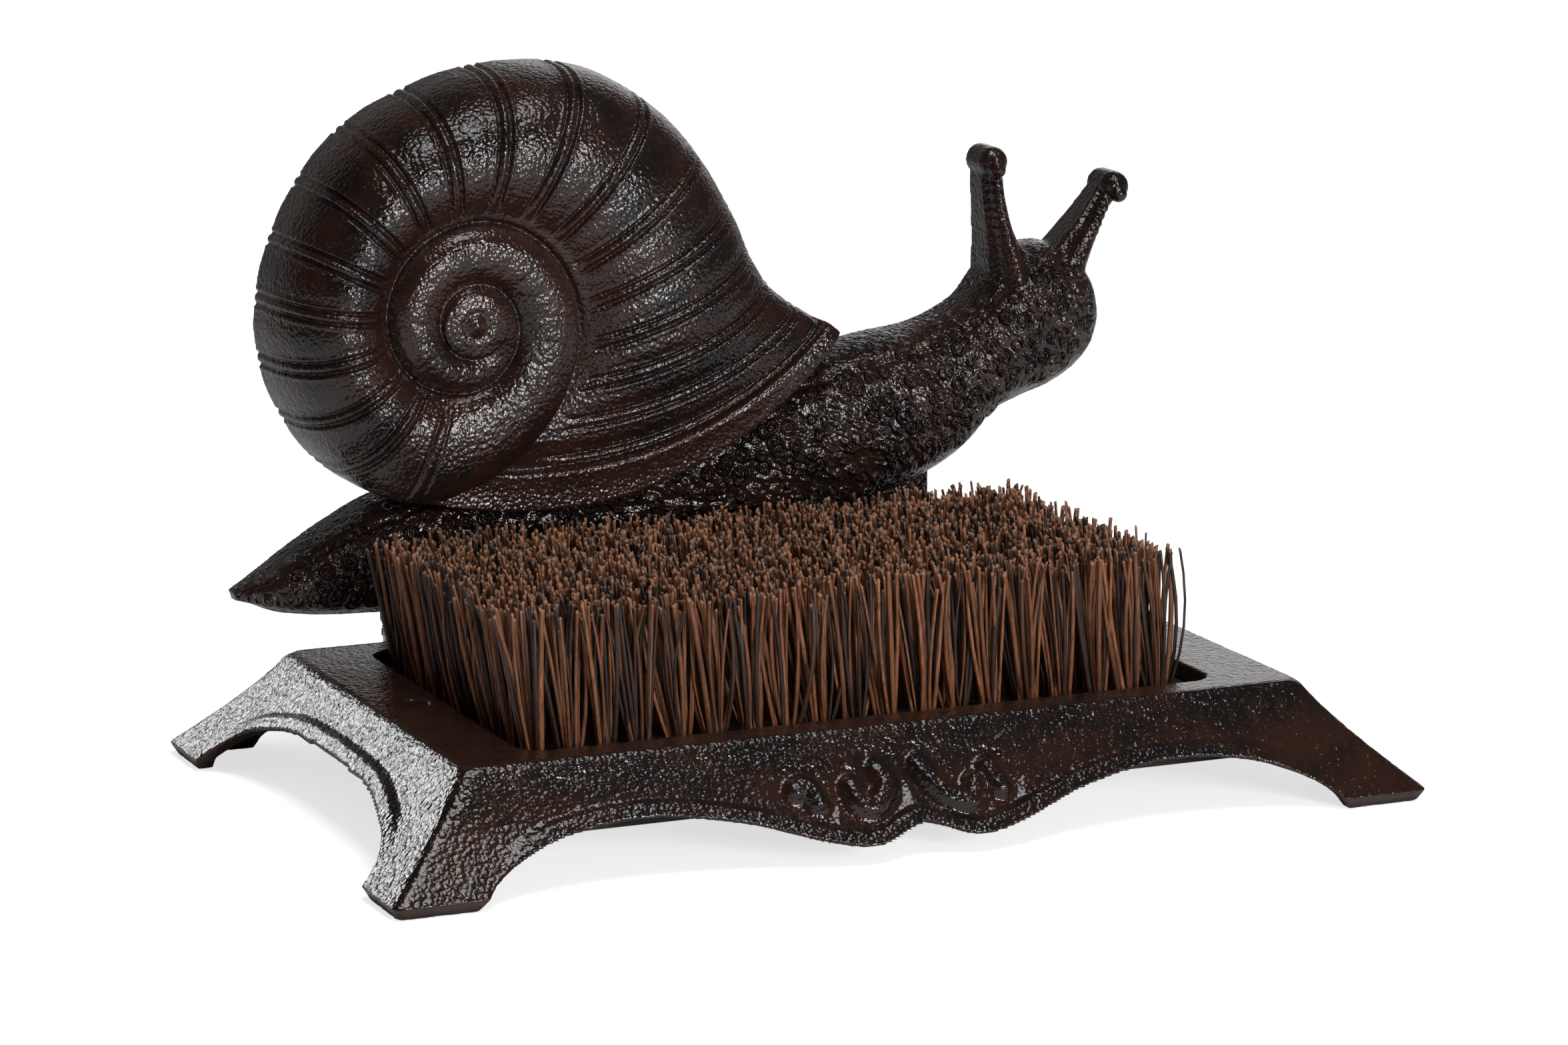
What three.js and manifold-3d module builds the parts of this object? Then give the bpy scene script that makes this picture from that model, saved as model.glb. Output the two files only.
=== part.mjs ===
// Cast iron door mat: a boot brush in a low cast frame with a cast snail standing behind it.
// Millimetres, +Z up, +X to the viewer's right, +Y to the back. The origin lies on the ground
// under the middle of the frame.
import * as THREE from 'three';
import { mergeVertices } from 'three/addons/utils/BufferGeometryUtils.js';
import Module from 'manifold-3d';

const wasm = await Module();
wasm.setup();

// Vertices nearer than this to their neighbours' plane or line are dropped
const JOINT_TOLERANCE = 0.05;

// Cutting blocks reach this far past the casting
const FAR = 400;

// Gap between pieces that are screwed or bolted face to face
const SEAT_GAP = 0.3;

// Base frame
const FRAME_HEIGHT = 33;
const RIM_HALF_LENGTH = 127;
const RIM_HALF_WIDTH = 74.6;
const FLARE_LENGTH = 28.5; // how far the toes stand out past the rim, at each end
const FLARE_WIDTH = 24.5; // the same at the front and the back
const FLARE_CURVE = 1.2; // 1 is a straight slope, more is a hollow one
const TOE_HEIGHT = 3.5;
const TOE_UNDERCUT = 2;
const FRAME_WALL = 5;
const RIM_CHAMFER = 1.4;
const SKIRT_CORNER = 2.5;
const OPENING_HALF_LENGTH = 105.3;
const OPENING_HALF_WIDTH = 63.7;
const OPENING_CORNER = 8;
const BEAD_RADIUS = 1.9;
const BEAD_RISE = 3.4; // bead centre above the cut edge that it follows

// Lower edge of the long sides: two arches and a scalloped drop between them
const FOOT_LENGTH = 24;
const ARCH_RISE = 16.8;
const ARCH_TOP_FROM_FOOT = 47; // top of the arch, inwards from where the foot begins
const LOBE_LEVEL = 5.2;
const LOBE_OFFSET = 19;
const CUSP_LEVEL = 9.2;

// Lower edge of the short sides: one wide arch
const FOOT_WIDTH = 22;
const END_ARCH_RISE = 20;
// How far the end arch falls from its top, at distances before the foot
const END_ARCH_FALL = [[46, 0.8], [28, 3.8], [17, 7], [8, 12.4]];
const BELOW_GROUND = -2; // where the cut edges run out under the feet

// Leaf scrolls in relief on the front between the arches, as (x, height) along each stroke
const SCROLL_TUBE = 2.1;
const SCROLL_STROKES = [
  [[-34.5, 19.5], [-31.5, 20], [-29, 16.5]],
  [[-18, 19], [-17, 15.2], [-12.5, 14.4], [-8, 18], [-9, 22.5]],
  [[3.5, 22.5], [6.4, 17.7], [11, 14], [16, 13.4], [18.6, 17]],
  [[23.5, 20], [25.5, 15.5]],
];

// Ears behind the frame that carry the snail
const EAR_THICKNESS = 6;
const EAR_TIP_RADIUS = 9;
const EAR_ROOT_HALF_WIDTH = 16;

// Snail casting, in its own frame: x along it, z up from the rim, y = 0 at its open back
const SNAIL_SETBACK = 10.4; // open back behind the edge of the rim
const SNAIL_WALL = 4.5;
const HOLLOW_STEP = 0.6; // depth of the way between the two hollows, as a share of theirs
const BACK_OVERRUN = 2; // how far the solids reach past the open back before it is cut flat
const EDGE_LAND = 2.5; // flat edge of the casting at its open back
const LEFT_LUG_X = -81.5;
const RIGHT_LUG_X = 70;
const LUG_OUTER_HALF_WIDTH = 12.5; // from the bolt to the lug's edge towards the snail's end
const LUG_INNER_HALF_WIDTH = 20; // from the bolt to its edge towards the middle
const LUG_THICKNESS = 4;
const LUG_CORNER = 5;
const LEFT_LUG_HEIGHT = 16;
const RIGHT_LUG_HEIGHT = 39;
const FOOT_FLANGE_THICKNESS = 4.5;
const FOOT_FLANGE_RADIUS = 7.5;

// Body of the snail from the tail to the face: the upper and the lower edge on the open back
// (x, z each) and how far the front stands out from it there
const BODY_STATIONS = [
  [-140.5, 17.5, -139.5, 14.8, 5],
  [-133, 22.3, -129, 12.3, 15],
  [-124, 28.4, -117, 10.6, 20],
  [-111, 36.2, -103, 9.8, 23],
  [-95, 43.5, -85, 10, 24],
  [-60, 53, -50, 13, 24],
  [0, 67, 10, 20, 26],
  [53, 78.5, 60, 31, 27],
  [76, 82, 86, 41.5, 26],
  [91, 88.5, 98, 53.5, 26],
  [98.5, 97, 109, 58.5, 26],
  [108, 103, 120, 62, 25],
  [120, 104.5, 129.5, 68, 23],
  [129, 99, 134, 76.5, 18],
  [133, 91, 135, 84, 10],
];
const BODY_ROUNDNESS = 2.5; // exponent of the section's superellipse, 2 is an ellipse
const BODY_STEPS = 40;

// Stretches of the body's hollow, counted in stations: the whole of it, and the part below the
// shell where the two hollows meet
const BODY_HOLLOW = [1.6, 12.6];
const MEETING_HOLLOW = [4.5, 6.2];

// Shell: radius of the coil at each turn back from the lip, in degrees
const COIL_CENTRE_X = -77;
const COIL_CENTRE_Z = 97;
const LIP_ANGLE = -7;
const FULL_TURN = 360;
const COIL_RADII = [
  [0, 122], [-8, 102], [-24, 93.3], [-42, 88.8], [-61, 83.2], [-82, 73.2], [-104, 64.8], [-126, 60],
  [-149, 55.5], [-171, 53.8], [-216, 54.8], [-251, 56], [-278, 48.5], [-313, 39.6], [-365, 33.6],
  [-457, 29], [-550, 25], [-630, 20.5], [-720, 15], [-840, 8], [-960, 2.5],
];
const SPIRE_END = -268; // turn at which the last whorl takes over from the spire
const WHORL_LAP = 4; // how far the last whorl reaches back over the spire, in degrees
const SPIRE_INSET = 0.988; // the spire ends just inside the whorl that wraps it
const SPIRE_SPAN = 348; // outer turn of the spire, just short of meeting itself
const LIP_END = 100;
const SHELL_CREST = 40; // crest of the last whorl in front of the open back
const SHELL_LIP_DEPTH = 29;
const SUTURE_DEPTH = 33;
const SUTURE_STEP = 1.3; // the last whorl starts this much below the edge of the spire
const SPIRE_CREST = 41;
const INNER_SPIRE = [-900, -590]; // turns of the coil that the inner spire takes up
const CORE_TURN = -600; // turn at which the core of the spire lies
const SPIRE_HOLLOW_TURN = -365; // turn that the hollow behind the spire follows
const APEX_RADIUS = 3.6;
const GROOVE_PITCH = 19; // between pairs of growth grooves, in degrees
const GROOVE_SPREAD = 1.7; // from the middle of a pair to a groove, in degrees
const GROOVE_DEPTH = 0.9;
const LIP_BAND = 14; // smooth band along the lip, in degrees of growth
const LIP_BAND_RISE = 1.3;
const LIP_SAG = 0.148; // depth of the lip's curve as a share of its length
const GROWTH_LAG = 28; // how gradually the growth lines swing into the lip, in degrees

// Tentacles from root to tip: x, z, half width and depth of each section
const LEFT_TENTACLE = [
  [104.5, 92, 6.5, 23], [103.2, 101, 5, 21], [101.7, 109, 3.3, 18], [100.8, 118, 2.7, 15],
  [100.7, 127, 2.8, 13],
];
const RIGHT_TENTACLE = [
  [121.5, 93, 6.5, 22], [126.5, 101, 4.8, 20], [131.5, 108, 3.2, 17], [136.5, 114, 2.6, 14],
  [140.2, 118, 2.7, 12],
];
const KNOB_RADIUS = 4.6;
const KNOB_LENGTH = 3.4; // from the stalk's end to the middle of the knob
const KNOB_DEPTH = 9; // from the open back to the middle of the knob
const EYE_RADIUS = 2.3;

// Brush: a wooden back under the rim, with the fibres set in its upper layer
const BOARD_END_CLEARANCE = 5;
const BOARD_OVERLAP = 2.3;
const BOARD_THICKNESS = 14;
const BRISTLE_LAYER = 3.7;
const BRISTLE_SECTIONS = 4;
const BRISTLE_MARGIN_LENGTH = 8; // from the opening to the outer roots
const BRISTLE_MARGIN_WIDTH = 13.5;
const TUFTS_PER_SECTION = 4;
const TUFT_ROWS = 7;
const STRANDS_PER_TUFT = 3;
const STRAND_RADIUS = 1.4;
const STRAND_REACH = 34.5; // mean height of the tips above the rim
const STRAND_UNEVENNESS = 2.5;
const STRAND_LEAN = -3.5;
const TUFT_ROOT_RADIUS = 2;
const TUFT_TIP_RADIUS = 3.7;

// Countersunk wood screws through the ends of the rim
const SCREW_HEAD_RADIUS = 4.6;
const SCREW_HEAD_HEIGHT = 2.6;
const SCREW_SHANK_RADIUS = 2;
const SCREW_LENGTH = 17;
const SCREW_CLEARANCE = 0.3;
const SCREW_INSET = 2; // from the middle of the rim towards the opening

// Hexagon bolts, washers and nuts that hold the snail to the ears
const BOLT_RADIUS = 2.5;
const BOLT_CLEARANCE = 0.35;
const BOLT_BEHIND_SNAIL = 5.6;
const HEX_ACROSS_FLATS = 8;
const BOLT_HEAD_HEIGHT = 3.5;
const NUT_HEIGHT = 4;
const WASHER_RADIUS = 5;
const WASHER_THICKNESS = 1;
const BOLT_POINT = 1.5; // how far the bolt passes its nut

// Places that follow from the sizes above
const rimUnderside = FRAME_HEIGHT - FRAME_WALL;
const snailBackY = RIM_HALF_WIDTH + SNAIL_SETBACK;
const boltY = snailBackY + BOLT_BEHIND_SNAIL;
const screwX = (RIM_HALF_LENGTH + OPENING_HALF_LENGTH) / 2 - SCREW_INSET;
const boardTop = rimUnderside - SEAT_GAP;
const layerBottom = boardTop - BRISTLE_LAYER;
const lugXs = { left: LEFT_LUG_X, right: RIGHT_LUG_X };

const materials = {
  iron: new THREE.MeshStandardMaterial({ color: 0x3b2b26, roughness: 0.48, metalness: 0.55 }),
  wood: new THREE.MeshStandardMaterial({ color: 0x2b2019, roughness: 0.85, metalness: 0 }),
  fibre: new THREE.MeshStandardMaterial({ color: 0x6b4226, roughness: 0.75, metalness: 0 }),
  steel: new THREE.MeshStandardMaterial({ color: 0x5c5a58, roughness: 0.4, metalness: 0.9 }),
};

// Solids and booleans

function solid(geometry) {
  const bare = new THREE.BufferGeometry();
  bare.setAttribute('position', geometry.getAttribute('position').clone());
  if (geometry.index) bare.setIndex(geometry.index.clone());
  const merged = mergeVertices(bare, 1e-4);
  return new wasm.Manifold(new wasm.Mesh({
    numProp: 3,
    vertProperties: new Float32Array(merged.attributes.position.array),
    triVerts: new Uint32Array(merged.index.array),
  }));
}

function join(solids) {
  return wasm.Manifold.union(solids);
}

function cut(body, tools) {
  return wasm.Manifold.difference([body, ...tools]);
}

// The outer skin alone, with any void that a joint has closed off filled in
function withoutVoids(body) {
  const pieces = body.simplify(JOINT_TOLERANCE).decompose();
  return pieces.reduce((largest, piece) => (piece.volume() > largest.volume() ? piece : largest));
}

function part(name, body, material) {
  const mesh = withoutVoids(body).getMesh();
  const geometry = new THREE.BufferGeometry();
  geometry.setAttribute('position', new THREE.BufferAttribute(mesh.vertProperties, 3));
  geometry.setIndex(new THREE.BufferAttribute(mesh.triVerts, 1));
  const faceted = geometry.toNonIndexed();
  faceted.computeVertexNormals();
  const result = new THREE.Mesh(faceted, material);
  result.name = name;
  return result;
}

function at(geometry, x, y, z) {
  return geometry.translate(x, y, z);
}

function box(lengthX, lengthY, lengthZ, x, y, z) {
  return solid(at(new THREE.BoxGeometry(lengthX, lengthY, lengthZ), x, y, z));
}

// Upright cylinder or prism between two heights
function column(radius, low, high, x, y, sides = 24, topRadius = radius) {
  const geometry = new THREE.CylinderGeometry(topRadius, radius, high - low, sides);
  geometry.rotateX(Math.PI / 2);
  return solid(at(geometry, x, y, (low + high) / 2));
}

// Flat outline in the ground plane, raised between two heights
function plate(shape, low, high, curveSegments = 8) {
  const geometry = new THREE.ExtrudeGeometry(shape, {
    depth: high - low, bevelEnabled: false, curveSegments,
  });
  return solid(at(geometry, 0, 0, low));
}

// Triangles across a ring, zipped from its first and its last point towards the middle
function ringCap(count, offset) {
  const faces = [];
  let low = 0;
  let high = count - 1;
  while (high - low > 1) {
    faces.push([low, low + 1, high]);
    if (high - 1 > low + 1) faces.push([low + 1, high - 1, high]);
    low += 1;
    high -= 1;
  }
  return faces.map((face) => face.map((i) => i + offset));
}

// Skin through rings of equal length, closed at both ends
function loft(rings) {
  const count = rings[0].length;
  const points = rings.flat();
  const faces = [];
  for (let i = 0; i < rings.length - 1; i += 1) {
    for (let j = 0; j < count; j += 1) {
      const a = i * count + j;
      const b = i * count + ((j + 1) % count);
      faces.push(a, b, a + count, b, b + count, a + count);
    }
  }
  for (const [a, b, c] of ringCap(count, 0)) faces.push(a, c, b);
  faces.push(...ringCap(count, (rings.length - 1) * count).flat());
  const geometry = new THREE.BufferGeometry().setFromPoints(points);
  geometry.setIndex(faces);
  return facingOut(solid(geometry), geometry);
}

// A skin made against the clock is turned so that its faces point outwards
function facingOut(body, geometry) {
  if (body.volume() > 0) return body;
  const turned = geometry.clone();
  turned.setIndex([...geometry.index.array].reverse());
  return solid(turned);
}

// Rod of round section along a curve
function rod(curve, radius, steps, sides = 6) {
  const section = new THREE.Shape();
  for (let i = 0; i < sides; i += 1) {
    const angle = (i / sides) * 2 * Math.PI;
    const x = radius * Math.cos(angle);
    const y = radius * Math.sin(angle);
    if (i === 0) section.moveTo(x, y);
    else section.lineTo(x, y);
  }
  section.closePath();
  return solid(new THREE.ExtrudeGeometry(section, { steps, extrudePath: curve }));
}

function vector(x, y, z) {
  return new THREE.Vector3(x, y, z);
}

// Smooth curve value between rows of [position, value], sorted either way
function along(rows, position, field = 1) {
  const sorted = rows[0][0] < rows[rows.length - 1][0] ? rows : [...rows].reverse();
  const clamped = THREE.MathUtils.clamp(position, sorted[0][0], sorted[sorted.length - 1][0]);
  let i = 0;
  while (i < sorted.length - 2 && sorted[i + 1][0] < clamped) i += 1;
  const [x0, x1] = [sorted[i][0], sorted[i + 1][0]];
  const t = (clamped - x0) / (x1 - x0);
  const slope = (k) => {
    const low = sorted[Math.max(k - 1, 0)];
    const high = sorted[Math.min(k + 1, sorted.length - 1)];
    return (high[field] - low[field]) / (high[0] - low[0]);
  };
  const [y0, y1] = [sorted[i][field], sorted[i + 1][field]];
  const m0 = slope(i) * (x1 - x0);
  const m1 = slope(i + 1) * (x1 - x0);
  const [t2, t3] = [t * t, t * t * t];
  return (2 * t3 - 3 * t2 + 1) * y0 + (t3 - 2 * t2 + t) * m0
    + (3 * t2 - 2 * t3) * y1 + (t3 - t2) * m1;
}

// Base frame

function roundedRectangle(halfLength, halfWidth, corner) {
  const shape = new THREE.Shape();
  shape.moveTo(halfLength - corner, -halfWidth);
  shape.absarc(halfLength - corner, -halfWidth + corner, corner, -Math.PI / 2, 0);
  shape.absarc(halfLength - corner, halfWidth - corner, corner, 0, Math.PI / 2);
  shape.absarc(corner - halfLength, halfWidth - corner, corner, Math.PI / 2, Math.PI);
  shape.absarc(corner - halfLength, corner - halfWidth, corner, Math.PI, 1.5 * Math.PI);
  shape.closePath();
  return shape;
}

function ringAt(halfLength, halfWidth, height) {
  return roundedRectangle(halfLength, halfWidth, SKIRT_CORNER)
    .getPoints(2)
    .slice(0, -1)
    .map((point) => vector(point.x, point.y, height));
}

// Half sizes of the outer skin at a height above the ground
function skirtOverhang(height, flare) {
  if (height < TOE_HEIGHT) return flare - TOE_UNDERCUT * (1 - height / TOE_HEIGHT);
  const fall = (FRAME_HEIGHT - height) / (FRAME_HEIGHT - TOE_HEIGHT);
  return flare * fall ** FLARE_CURVE;
}

function skirtHalfLength(height) {
  return RIM_HALF_LENGTH + skirtOverhang(height, FLARE_LENGTH);
}

function skirtHalfWidth(height) {
  return RIM_HALF_WIDTH + skirtOverhang(height, FLARE_WIDTH);
}

function skirtSkin() {
  const shoulder = FRAME_HEIGHT - RIM_CHAMFER;
  const middle = (shoulder + TOE_HEIGHT) / 2;
  const slope = [0, TOE_HEIGHT, middle, shoulder]
    .map((height) => ringAt(skirtHalfLength(height), skirtHalfWidth(height), height));
  const top = ringAt(RIM_HALF_LENGTH - RIM_CHAMFER, RIM_HALF_WIDTH - RIM_CHAMFER, FRAME_HEIGHT);
  return loft([...slope, top]);
}

// Hollow under the rim, one wall inside the sloping skin
function skirtHollow() {
  const insetLength = FRAME_WALL * Math.hypot(1, FLARE_LENGTH / FRAME_HEIGHT);
  const insetWidth = FRAME_WALL * Math.hypot(1, FLARE_WIDTH / FRAME_HEIGHT);
  const middle = (rimUnderside + TOE_HEIGHT) / 2;
  return loft([-1, TOE_HEIGHT, middle, rimUnderside].map((height) => ringAt(
    skirtHalfLength(height) - insetLength,
    skirtHalfWidth(height) - insetWidth,
    height,
  )));
}

// Height of the cut lower edge at a distance from the middle of a long side
function longEdgeRows() {
  const footStart = RIM_HALF_LENGTH + FLARE_LENGTH - FOOT_LENGTH;
  const archMiddle = footStart - ARCH_TOP_FROM_FOOT;
  return [
    [0, CUSP_LEVEL],
    [LOBE_OFFSET * 0.3, CUSP_LEVEL - 1.4],
    [LOBE_OFFSET * 0.65, LOBE_LEVEL + 0.4],
    [LOBE_OFFSET, LOBE_LEVEL],
    [LOBE_OFFSET * 1.6, LOBE_LEVEL + 2.2],
    [LOBE_OFFSET * 2.6, ARCH_RISE - 4],
    [archMiddle - 14, ARCH_RISE - 0.4],
    [archMiddle, ARCH_RISE],
    [footStart - 34, ARCH_RISE - 1],
    [footStart - 22, ARCH_RISE - 3.6],
    [footStart - 6, ARCH_RISE * 0.36],
    [footStart + 1, BELOW_GROUND],
  ];
}

function endEdgeRows() {
  const footStart = RIM_HALF_WIDTH + FLARE_WIDTH - FOOT_WIDTH;
  return [
    [0, END_ARCH_RISE],
    ...END_ARCH_FALL.map(([fromFoot, fall]) => [footStart - fromFoot, END_ARCH_RISE - fall]),
    [footStart, BELOW_GROUND],
  ];
}

// Sheet from below the ground up to the cut edge, on both sides of the middle
function archCutter(rows, steps) {
  const reach = rows[rows.length - 1][0];
  const shape = new THREE.Shape();
  shape.moveTo(-reach, -4);
  for (let i = 0; i <= steps; i += 1) {
    const place = -reach + (2 * reach * i) / steps;
    shape.lineTo(place, along(rows, Math.abs(place)));
  }
  shape.lineTo(reach, -4);
  shape.closePath();
  const depth = 2 * FAR;
  return new THREE.ExtrudeGeometry(shape, { depth, bevelEnabled: false })
    .translate(0, 0, -depth / 2)
    .rotateX(Math.PI / 2);
}

// Bead along the cut edge of a long side; side is -1 for the front and 1 for the back
function longBead(side) {
  const rows = longEdgeRows();
  const reach = rows[rows.length - 1][0] - 1;
  const path = [];
  const stops = 26;
  for (let i = 0; i <= stops; i += 1) {
    const x = -reach + (2 * reach * i) / stops;
    const z = Math.max(along(rows, Math.abs(x)), 0) + BEAD_RISE;
    path.push(vector(x, side * skirtHalfWidth(z), z));
  }
  return rod(new THREE.CatmullRomCurve3(path), BEAD_RADIUS, 34, 5);
}

function endBead(side) {
  const rows = endEdgeRows();
  const reach = rows[rows.length - 1][0] - 1;
  const path = [];
  const stops = 18;
  for (let i = 0; i <= stops; i += 1) {
    const y = -reach + (2 * reach * i) / stops;
    const z = Math.max(along(rows, Math.abs(y)), 0) + BEAD_RISE;
    path.push(vector(side * skirtHalfLength(z), y, z));
  }
  return rod(new THREE.CatmullRomCurve3(path), BEAD_RADIUS, 20, 5);
}

// Leaf scrolls lie half sunk in the sloping front
function scrolls() {
  return SCROLL_STROKES.map((stroke) => {
    const path = stroke.map(([x, z]) => vector(x, -skirtHalfWidth(z), z));
    return rod(new THREE.CatmullRomCurve3(path), SCROLL_TUBE, 2 * stroke.length, 6);
  });
}

// Ear that sticks out behind the rim, its sides tangent to a round tip about the bolt
function earOutline(x, rootY, rootHalfWidth, tipRadius) {
  const shape = new THREE.Shape();
  const reach = boltY - rootY;
  const lean = Math.atan2(rootHalfWidth - tipRadius, reach);
  shape.moveTo(x + rootHalfWidth, rootY);
  shape.absarc(x, boltY, tipRadius, lean, Math.PI - lean);
  shape.lineTo(x - rootHalfWidth, rootY);
  shape.closePath();
  return shape;
}

function frameEar(x) {
  const root = RIM_HALF_WIDTH - FRAME_WALL;
  const outline = earOutline(x, root, EAR_ROOT_HALF_WIDTH, EAR_TIP_RADIUS);
  return plate(outline, FRAME_HEIGHT - EAR_THICKNESS, FRAME_HEIGHT);
}

function boltHole(x, low, high) {
  return column(BOLT_RADIUS + BOLT_CLEARANCE, low, high, x, boltY, 20);
}

function countersunkHole(side) {
  const x = side * screwX;
  const clear = SCREW_CLEARANCE;
  const headLow = FRAME_HEIGHT - SCREW_HEAD_HEIGHT - clear;
  return join([
    column(SCREW_SHANK_RADIUS + clear, rimUnderside - 1, FRAME_HEIGHT, x, 0),
    column(SCREW_SHANK_RADIUS + clear, headLow, FRAME_HEIGHT + 0.01, x, 0, 24,
      SCREW_HEAD_RADIUS + 2 * clear),
  ]);
}

function baseFrame() {
  const opening = plate(
    roundedRectangle(OPENING_HALF_LENGTH, OPENING_HALF_WIDTH, OPENING_CORNER),
    rimUnderside - 1,
    FRAME_HEIGHT + 1,
    5,
  );
  const longArch = solid(archCutter(longEdgeRows(), 48));
  const endArch = solid(archCutter(endEdgeRows(), 24).rotateZ(Math.PI / 2));
  const trim = [longBead(-1), longBead(1), endBead(-1), endBead(1), ...scrolls()];
  const shell = cut(skirtSkin(), [skirtHollow(), longArch, endArch]);
  const ground = box(2 * FAR, 2 * FAR, FAR, 0, 0, -FAR / 2);
  const dressed = cut(join([shell, ...trim]), [skirtHollow(), ground]);
  const ears = Object.values(lugXs).map((x) => frameEar(x));
  const holes = Object.values(lugXs).map((x) => boltHole(x, 0, FRAME_HEIGHT + 1));
  return cut(join([dressed, ...ears]), [opening, ...holes, countersunkHole(-1), countersunkHole(1)]);
}

// Snail: body

function bodyStation(position) {
  const rows = BODY_STATIONS.map((station, i) => [i, ...station]);
  const value = (field) => along(rows, position, field);
  return {
    top: new THREE.Vector2(value(1), value(2)),
    under: new THREE.Vector2(value(3), value(4)),
    depth: value(5),
  };
}

// Section of the body: a superellipse that stands on the open back, inset by a wall for the hollow
function bodyRing(station, steps, inset, behind) {
  const span = station.top.clone().sub(station.under);
  const middle = station.top.clone().add(station.under).multiplyScalar(0.5);
  const half = span.length() / 2 - inset;
  const depth = station.depth - inset;
  const direction = span.normalize();
  const land = inset > 0 ? -behind : EDGE_LAND;
  const ring = [];
  for (let i = 0; i <= steps; i += 1) {
    const angle = (i / steps) * Math.PI;
    const wide = Math.sign(Math.cos(angle)) * Math.abs(Math.cos(angle)) ** (2 / BODY_ROUNDNESS);
    const deep = Math.sin(angle) ** (2 / BODY_ROUNDNESS);
    const place = middle.clone().addScaledVector(direction, half * wide);
    ring.push(vector(place.x, -Math.max(land, 0) - (depth - Math.max(land, 0)) * deep, place.y));
  }
  const ends = [1, -1].map((side) => middle.clone().addScaledVector(direction, side * half));
  ring.push(vector(ends[1].x, behind, ends[1].y), vector(ends[0].x, behind, ends[0].y));
  return ring;
}

function snailBody() {
  const last = BODY_STATIONS.length - 1;
  const rings = [];
  for (let i = 0; i <= BODY_STEPS; i += 1) {
    rings.push(bodyRing(bodyStation((i / BODY_STEPS) * last), 10, 0, BACK_OVERRUN));
  }
  return loft(rings);
}

// Hollow of the body between two of its stations
function bodyHollow(first, last, steps) {
  const rings = [];
  for (let i = 0; i <= steps; i += 1) {
    const station = bodyStation(first + ((last - first) * i) / steps);
    rings.push(bodyRing(station, 6, SNAIL_WALL, 2 * BACK_OVERRUN));
  }
  return loft(rings);
}

// Snail: shell

function coilPoint(turn) {
  const angle = THREE.MathUtils.degToRad(LIP_ANGLE - turn);
  const radius = along(COIL_RADII, turn);
  return new THREE.Vector2(
    COIL_CENTRE_X + radius * Math.cos(angle),
    COIL_CENTRE_Z + radius * Math.sin(angle),
  );
}

// Growth line at a turn of the suture: it starts on the suture one turn further in and runs out
// to the outline, where it swings into the lip
function growthLine(turn, t) {
  const outerTurn = -GROWTH_LAG * Math.log(1 + Math.exp(-turn / GROWTH_LAG));
  const inner = coilPoint(turn - FULL_TURN);
  const outer = coilPoint(outerTurn);
  const chord = outer.clone().sub(inner);
  const bow = LIP_SAG * (turn - outerTurn) / LIP_END;
  const bend = 4 * t * (1 - t) * bow;
  return inner.addScaledVector(chord, t)
    .add(new THREE.Vector2(chord.y, -chord.x).multiplyScalar(bend));
}

// Front of the last whorl in front of the open back, across it from the suture to the outline
function whorlDepth(turn, t) {
  const crestAt = 0.4;
  const lip = THREE.MathUtils.smoothstep(turn, 0, 90);
  const opened = THREE.MathUtils.smoothstep(turn, SPIRE_END, SPIRE_END + 36);
  const crest = THREE.MathUtils.lerp(SHELL_CREST, SHELL_LIP_DEPTH + 2, lip);
  const rimDepth = THREE.MathUtils.lerp(SUTURE_DEPTH - SUTURE_STEP, EDGE_LAND, opened);
  const edge = THREE.MathUtils.lerp(rimDepth, SHELL_LIP_DEPTH - 4, lip);
  if (t < crestAt) {
    const start = Math.min(SUTURE_DEPTH, crest - 1);
    return crest - (crest - start) * ((crestAt - t) / crestAt) ** 2;
  }
  const fall = (t - crestAt) / (1 - crestAt);
  return edge + (crest - edge) * (1 - fall ** 2.3) ** (1 / 2.3);
}

// Pairs of shallow grooves follow the growth lines, and a raised band runs along the lip
function growthRelief(turn, t) {
  const lipStart = LIP_END - LIP_BAND;
  if (turn > lipStart) return LIP_BAND_RISE;
  const phase = THREE.MathUtils.euclideanModulo(turn, GROOVE_PITCH);
  const middle = GROOVE_PITCH / 2;
  const groove = Math.abs(Math.abs(phase - middle) - GROOVE_SPREAD) < 0.1;
  const fade = Math.sin(Math.PI * Math.min(Math.max(t, 0), 1)) ** 0.5;
  return groove ? -GROOVE_DEPTH * fade : 0;
}

// Turns at which a section is taken: both grooves of each pair, their flanks and the middle
function sectionTurns(from, to) {
  const turns = [];
  for (let pair = Math.floor(from / GROOVE_PITCH); pair * GROOVE_PITCH < to; pair += 1) {
    const middle = (pair + 0.5) * GROOVE_PITCH;
    for (const offset of [-2, -1, 0, 1, 2]) turns.push(middle + offset * GROOVE_SPREAD);
    turns.push((pair + 1) * GROOVE_PITCH);
  }
  const lipStart = LIP_END - LIP_BAND;
  const kept = turns.filter((turn) => turn > from + 1 && turn < to - 1
    && Math.abs(turn - lipStart) > 1.5);
  return [from, ...kept, lipStart - 0.4, lipStart + 0.4, to].sort((a, b) => a - b);
}

function lastWhorl() {
  const inside = -0.08;
  const across = [inside, 0.08, 0.22, 0.4, 0.6, 0.78, 0.92, 1];
  const rings = sectionTurns(SPIRE_END - WHORL_LAP, LIP_END).map((turn) => {
    const front = across.map((t) => {
      const place = growthLine(turn, t);
      const depth = whorlDepth(turn, Math.max(t, 0)) + growthRelief(turn, t);
      return vector(place.x, -depth, place.y);
    });
    const back = front.map((point) => vector(point.x, BACK_OVERRUN, point.z));
    return [...front, ...back.reverse()];
  });
  return loft(rings);
}

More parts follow.
